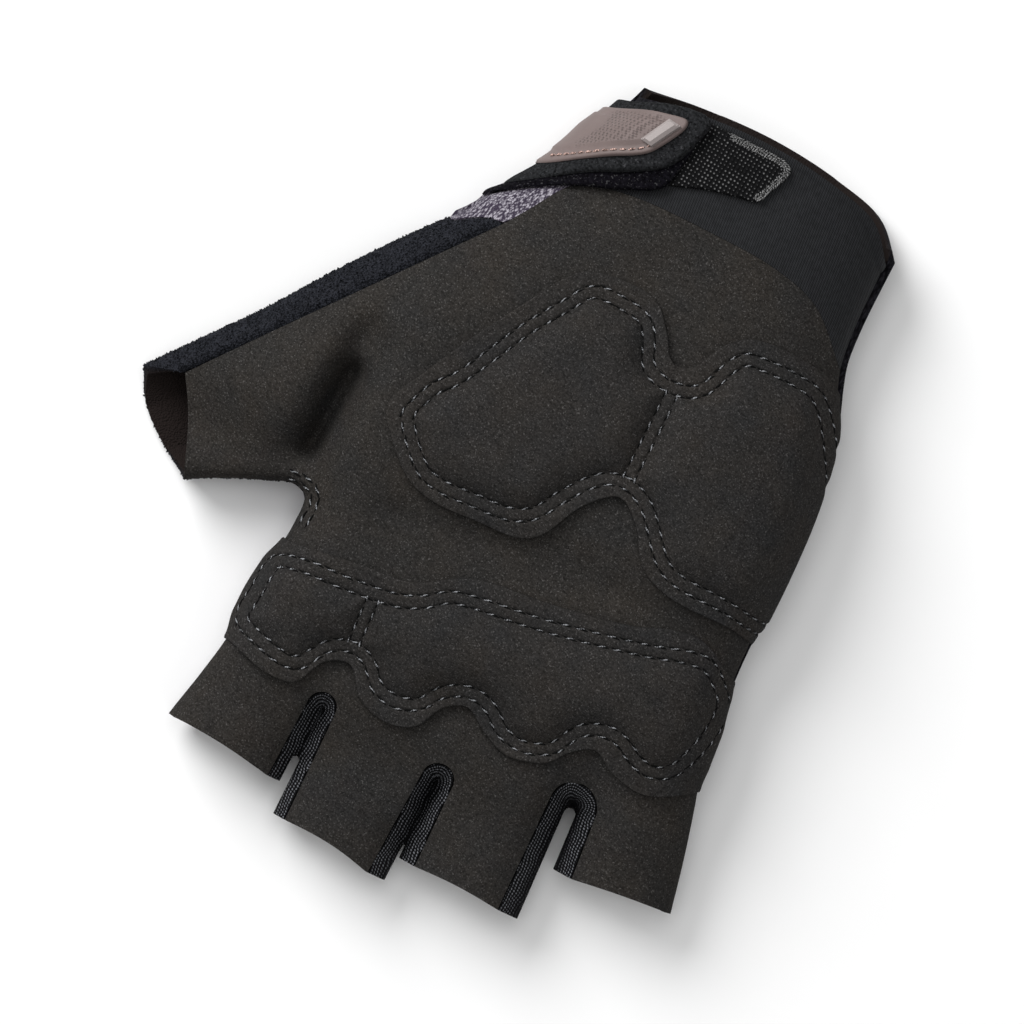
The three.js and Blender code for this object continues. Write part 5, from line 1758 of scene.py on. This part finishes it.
def lay_cords(piece, gap):
    """Write the elastic's own map: along its cords, and across them from the slot."""
    mesh = piece.data
    points = np.zeros(len(mesh.vertices) * 3)
    mesh.vertices.foreach_get("co", points)
    flat = points.reshape(-1, 3)[:, :2] / mm
    seam = nearest(seams[gap], flat)
    corner = np.zeros(len(mesh.loops), int)
    mesh.loops.foreach_get("vertex_index", corner)
    layer = mesh.uv_layers.new(name="cloth")
    place = np.stack([seam["at"][corner], seam["distance"][corner]], 1) * mm
    layer.data.foreach_set("uv", place.ravel())


class GLOVE_OT_patches(bpy.types.Operator):
    """Make the two padded patches of the palm"""
    bl_idname = "glove.patches"
    bl_label = "Padded patches"

    def execute(self, context):
        sizes = sizes_mm()
        suede = suede_material("Patch suede", colour("patch"), colour("patch_tint"), 2.0)
        heel = padded_patch("heel_pad", heel_outline, heel_row, heel_divider,
                            sizes["heel_padding"], sizes)
        knuckle = padded_patch("knuckle_pad", knuckle_outline, knuckle_row, knuckle_divider,
                               sizes["knuckle_padding"], sizes)
        fit(heel, suede, "patch_suede", "heel_patch")
        fit(knuckle, suede, "patch_suede", "knuckle_patch")
        return {"FINISHED"}


hook_edge_rows_in = (0.05, 0.15, 0.3, 0.5, 0.8)
strap_edge_rows_in = (0.06, 0.18, 0.36, 0.6, 0.9, 1.3)
tab_edge_rows_in = (0.06, 0.18, 0.36, 0.6, 1.1, 1.7, 2.2, 2.4, 2.6, 2.8, 3.0, 3.15, 3.4)
seen_over = dict(under=0.5, strap=0.8, tab=0.5)


def rounded_wall(wall, radius):
    """The thickness of a layer whose edge is rounded, by the depth inside it."""
    return lambda _, depth: wall * rounded(depth, radius)


class GLOVE_OT_strap(bpy.types.Operator):
    """Make the hook patch on the cuff and the two cloth layers of the strap"""
    bl_idname = "glove.strap"
    bl_label = "Wrist strap"

    def execute(self, context):
        sizes = sizes_mm()
        heights = layer_heights(sizes)
        hook_rise = rounded_wall(sizes["hook_wall"], 0.4)
        hook = overlay("hook_tape", below_hem(hook_outline), hook_edge_rows_in, 0.6,
                       lambda xy, depth: heights["hook"] + hook_rise(xy, depth), heights["hook"])
        hook_weave = hook_material("Hook tape", colour("hook"), colour("hook_thread"))
        fit(hook, hook_weave, "hook_weave", "hook_patch")
        under_outline = settled(strap_under_outline, heights["under"] + seen_over["under"])
        under = layer_with_tuck("strap_pile", under_outline, strap_edge_rows_in, 0.7,
                                rounded_wall(sizes["strap_under_wall"], 0.5), heights["under"])
        pile = felt_material("Pile", colour("pile"), colour("pile_specks"), 0.38)
        fit(under, pile, "loop_pile", "strap_under")
        felt_outline = settled(strap_outline, heights["strap"] + seen_over["strap"])
        strap = layer_with_tuck("strap_felt", felt_outline, strap_edge_rows_in, 0.6,
                                rounded_wall(sizes["strap_wall"], 1.0), heights["strap"])
        felt = felt_material("Felt", colour("felt"), colour("felt_specks"), 0.36)
        fit(strap, felt, "felt", "strap")
        return {"FINISHED"}


tip_sink = 0.25
tip_bevel = 0.5
tip_edge_rows_in = (0.25, 0.5, 0.75)


class GLOVE_OT_pull_tab(bpy.types.Operator):
    """Mould the rubber pull tab and the block at its end"""
    bl_idname = "glove.pull_tab"
    bl_label = "Pull tab"

    def execute(self, context):
        sizes = sizes_mm()
        base = layer_heights(sizes)["tab"]
        outline = settled(tab_outline, base + seen_over["tab"])
        tab = layer_with_tuck("rubber_tab", outline, tab_edge_rows_in, 0.45, tab_lift(sizes), base)
        mark_dots(tab)
        fit(tab, rubber_material("Tab rubber", colour("rubber"), 0.55), "tab_rubber", "pull_tab")
        top = base + sizes["tab_wall"] + sizes["tab_plateau"]

        def block(xy, depth):
            rise = (sizes["tip_rise"] + tip_sink) * np.clip(depth / tip_bevel, 0, 1)
            return (top - tip_sink + rise) * pressed(xy)

        corners = np.array([spot(row) for row in settled(tip_outline, top)])
        ring = counterclockwise(spaced(closed_loop(corners), 60)[:-1])
        tip = overlay("tab_block", ring, tip_edge_rows_in, 0.4, block,
                      lambda xy, depth: base * pressed(xy), sharp_degrees=25)
        # The block's lighter rubber colour is a painted highlight.
        fit(tip, rubber_material("Tip rubber", colour("tip"), 0.45), "tip_rubber", "tab_tip")
        return {"FINISHED"}


def mark_dots(tab):
    """Mark the part of the tab that has rows of small pits."""
    mesh = tab.data
    points = np.zeros(len(mesh.vertices) * 3)
    mesh.vertices.foreach_get("co", points)
    zone = closed_loop(counterclockwise(ring_of(tab_dots_outline, 0.4)))
    dotted = smoothstep(depth_in(zone, points.reshape(-1, 3)[:, :2] / mm), -0.2, 0.4)
    mesh.attributes.new("dotted", "FLOAT", "POINT").data.foreach_set("value", dotted)


tab_pitch = 1.8
knot_pitch = 0.55
sewn_unevenness = 0.14
knot_unevenness = 1.3


class GLOVE_OT_stitching(bpy.types.Operator):
    """Sew every visible row of stitches"""
    bl_idname = "glove.stitching"
    bl_label = "Stitching"

    def execute(self, context):
        sizes = sizes_mm()
        light = thread_material("Thread", colour("thread"))
        # Painted shade: this near-black thread fills the gaps between the light stitches, for the shade in
        # the needle holes.
        dark = thread_material("Dark thread", colour("dark_thread"), 0.8)
        pale = thread_material("Tab thread", colour("tab_thread"))
        knots = thread_material("Hook thread", colour("hook_thread"))
        tree = seam_tree()
        length, width, pitch = sizes["stitch_length"], sizes["thread_width"], sizes["stitch_pitch"]
        stitch = stitch_shape("stitch", length, width, width * 0.6, 6)
        # The gap stitch is a flat near-black strip under the light stitches: painted shade along the row.
        gap_shade_stitch = stitch_shape("dark stitch", pitch * 1.05, width * 1.35, width * 0.15, -9)
        tab_stitch = stitch_shape("tab stitch", 1.5, 0.40, 0.2, 5)
        knot = stitch_shape("knot", 0.85, 0.34, 0.15, 40)
        palm_rows, tab_rows, hook_rows = sewn_rows(sizes), [tab_row(sizes)], hook_edge_rows(sizes)
        # Each kind: name, rows, stitch, distance between stitches, unevenness, thread, slot
        kinds = [
            ("light", palm_rows, stitch, pitch, sewn_unevenness, light, "patch_suede"),
            # The dark kind is painted shade between the light stitches.
            ("dark", palm_rows, gap_shade_stitch, pitch, sewn_unevenness, dark, "patch_suede"),
            ("tab", tab_rows, tab_stitch, tab_pitch, sewn_unevenness, pale, "tab_rubber"),
            ("hook", hook_rows, knot, knot_pitch, knot_unevenness, knots, "hook_weave"),
        ]
        for seed, (kind, rows, shape, apart, uneven, thread, slot) in enumerate(kinds):
            made = []
            for number, (points, out) in enumerate(rows):
                line = seam_curve(f"{kind} row {number}", points, out)
                made.append(grown(f"{kind} row {number}", line, tree, stitch=shape, pitch=apart * mm,
                                  unevenness=uneven, seed=20 * seed + number, material=thread))
            place_piece(joined_mesh(f"{kind}_stitches", made), slot)
        for shape in (stitch, gap_shade_stitch, tab_stitch, knot):
            bpy.data.objects.remove(shape)
        return {"FINISHED"}


def longest_run(path, keep):
    """The unbroken part of a closed or open line that is kept."""
    if keep.all():
        return path
    if np.allclose(path[0], path[-1]):
        first = int(np.argmin(keep))
        path, keep = np.roll(path[:-1], -first, axis=0), np.roll(keep[:-1], -first)
    marks = np.flatnonzero(np.diff(np.concatenate([[False], keep, [False]])))
    starts, ends = marks[::2], marks[1::2]
    longest = int(np.argmax(ends - starts))
    return path[starts[longest]:ends[longest]]


side_room = 0.5
crotch_row_gap = 1.5
crotch_row_lift = 0.05


def sewn_rows(sizes):
    """Every row of stitches on the palm: its points and the cloth's outward direction there."""
    rows = []
    for outline, row, divider, padding in (
            (heel_outline, heel_row, heel_divider, sizes["heel_padding"]),
            (knuckle_outline, knuckle_row, knuckle_divider, sizes["knuckle_padding"])):
        seam_lines = patch_seams(row, divider, sizes)
        lift = patch_lift(outline, seam_lines, divider, padding, sizes)
        for line in seam_lines:
            within = np.minimum(depth_inside(ulnar, line)[0], depth_inside(index, line)[0])
            line = longest_run(line, within > side_room)
            points, out = on_skin(line, 1)
            height = lift(line, None)
            rows.append((points + out * height[:, None], out))
    crotch_line = smooth_path(crotch_stitches)
    for shift in (0, crotch_row_gap):
        points, out = on_skin(aside(crotch_line, -shift), 1)
        rows.append((points + out * crotch_row_lift, out))
    return rows


tab_row_depth = 0.85
tab_row_lift = 0.1
tab_row_end = (-30, 62.5)
tab_row_slope = 0.7


def tab_row(sizes):
    """The row of stitches in the thin border of the pull tab, along its lower and far sides."""
    base = layer_heights(sizes)["tab"]
    line = free_row(settled(tab_outline, base + seen_over["tab"]), tab_row_depth)
    points, out = on_skin(line, 1)
    height = (base + sizes["tab_wall"]) * pressed(line) + tab_row_lift
    points = points + out * height[:, None]
    keep = points[:, 1] < tab_row_end[1] + tab_row_slope * (points[:, 0] - tab_row_end[0])
    return points[keep], out[keep]


knot_depths = (0.30, 0.75, 1.20)
knot_start = -3
knot_top = 79.5
knot_slope = 0.9
knot_seat = 0.92


def hook_edge_rows(sizes):
    """Uneven rows of knots along the upper and far edges of the hook patch."""
    edge = closed_loop(counterclockwise(below_hem(hook_outline)))
    height = layer_heights(sizes)["hook"] + sizes["hook_wall"] * knot_seat
    rows = []
    for depth in knot_depths:
        line = loop_aside(edge, depth)
        beyond = line[:, 1] > knot_top - knot_slope * line[:, 0]
        line = longest_run(line, (line[:, 0] > knot_start) & beyond)
        points, out = on_skin(line, 1)
        rows.append((points + out * height, out))
    return rows


# Floor, light and camera

floor_half = 1.6
floor_drop = 0.00005
room_strength = 0.33
lit_spot = Vector((0, 0, 0.01))
camera_lens = 400
camera_sensor = 36
camera_near = 0.01
camera_place = (-5.3 * mm, -6.75 * mm, 2.2906)
camera_turn_degrees = 27
# Each light: name, place in metres, size, power
lights = (
    ("key", (-0.92, 0.50, 0.82), 0.90, 18.0),
    ("fill", (0.75, -0.20, 0.80), 0.80, 1.5),
    ("top", (-0.10, 0.15, 1.50), 1.00, 6.5),
)


def lay_floor():
    signs = [(-1, -1), (1, -1), (1, 1), (-1, 1)]
    corners = [(x * floor_half, y * floor_half, -floor_drop) for x, y in signs]
    mesh = bpy.data.meshes.new("floor")
    mesh.from_pydata(corners, [], [(0, 1, 2, 3)])
    mesh.materials.append(floor_material("Floor", colour("floor")))
    linked("floor", mesh)


def set_lights(scene):
    world = bpy.data.worlds.new("Soft room")
    world.use_nodes = True
    background = world.node_tree.nodes["Background"]
    background.inputs["Color"].default_value = (1, 1, 1, 1)
    background.inputs["Strength"].default_value = room_strength
    scene.world = world
    for name, place, size, power in lights:
        data = bpy.data.lights.new(name, "AREA")
        data.shape = "DISK"
        data.size = size
        data.energy = power
        light = linked(name, data)
        light.location = place
        light.rotation_euler = (lit_spot - Vector(place)).to_track_quat("-Z", "Y").to_euler()


def place_camera(scene):
    data = bpy.data.cameras.new("camera")
    data.lens = camera_lens
    data.sensor_width = camera_sensor
    data.clip_start = camera_near
    camera = linked("camera", data)
    camera.location = camera_place
    camera.rotation_euler = (0, 0, math.radians(camera_turn_degrees))
    scene.camera = camera
    scene.view_settings.view_transform = "Standard"


class GLOVE_OT_stage(bpy.types.Operator):
    """Lay the pale floor, set the soft light and place the camera over the palm"""
    bl_idname = "glove.stage"
    bl_label = "Stage"

    def execute(self, context):
        lay_floor()
        set_lights(context.scene)
        place_camera(context.scene)
        return {"FINISHED"}


class GLOVE_PT_panel(bpy.types.Panel):
    """Lists the glove's sizes, colours and pieces"""
    bl_idname = "GLOVE_PT_panel"
    bl_label = "Cycling glove"
    bl_space_type = "VIEW_3D"
    bl_region_type = "UI"
    bl_category = "Glove"

    def draw(self, context):
        for group in (context.scene.glove_sizes, context.scene.glove_colours):
            box = self.layout.box()
            for name in type(group).__annotations__:
                box.prop(group, name)
        for operator in piece_operators:
            self.layout.operator(operator.bl_idname)


piece_operators = (
    GLOVE_OT_stage, GLOVE_OT_palm, GLOVE_OT_back, GLOVE_OT_thumb_back, GLOVE_OT_cuff, GLOVE_OT_gussets,
    GLOVE_OT_patches, GLOVE_OT_strap, GLOVE_OT_pull_tab, GLOVE_OT_stitching,
)
classes = (GloveSizes, GloveColours) + piece_operators + (GLOVE_PT_panel,)


def register():
    for kind in classes:
        bpy.utils.register_class(kind)
    bpy.types.Scene.glove_sizes = bpy.props.PointerProperty(type=GloveSizes)
    bpy.types.Scene.glove_colours = bpy.props.PointerProperty(type=GloveColours)


def unregister():
    del bpy.types.Scene.glove_colours
    del bpy.types.Scene.glove_sizes
    for kind in reversed(classes):
        bpy.utils.unregister_class(kind)


def main():
    register()
    bpy.ops.glove.stage()
    bpy.ops.glove.palm()
    bpy.ops.glove.back()
    bpy.ops.glove.thumb_back()
    bpy.ops.glove.cuff()
    bpy.ops.glove.gussets()
    bpy.ops.glove.patches()
    bpy.ops.glove.strap()
    bpy.ops.glove.pull_tab()
    bpy.ops.glove.stitching()


if __name__ == "__main__":
    main()
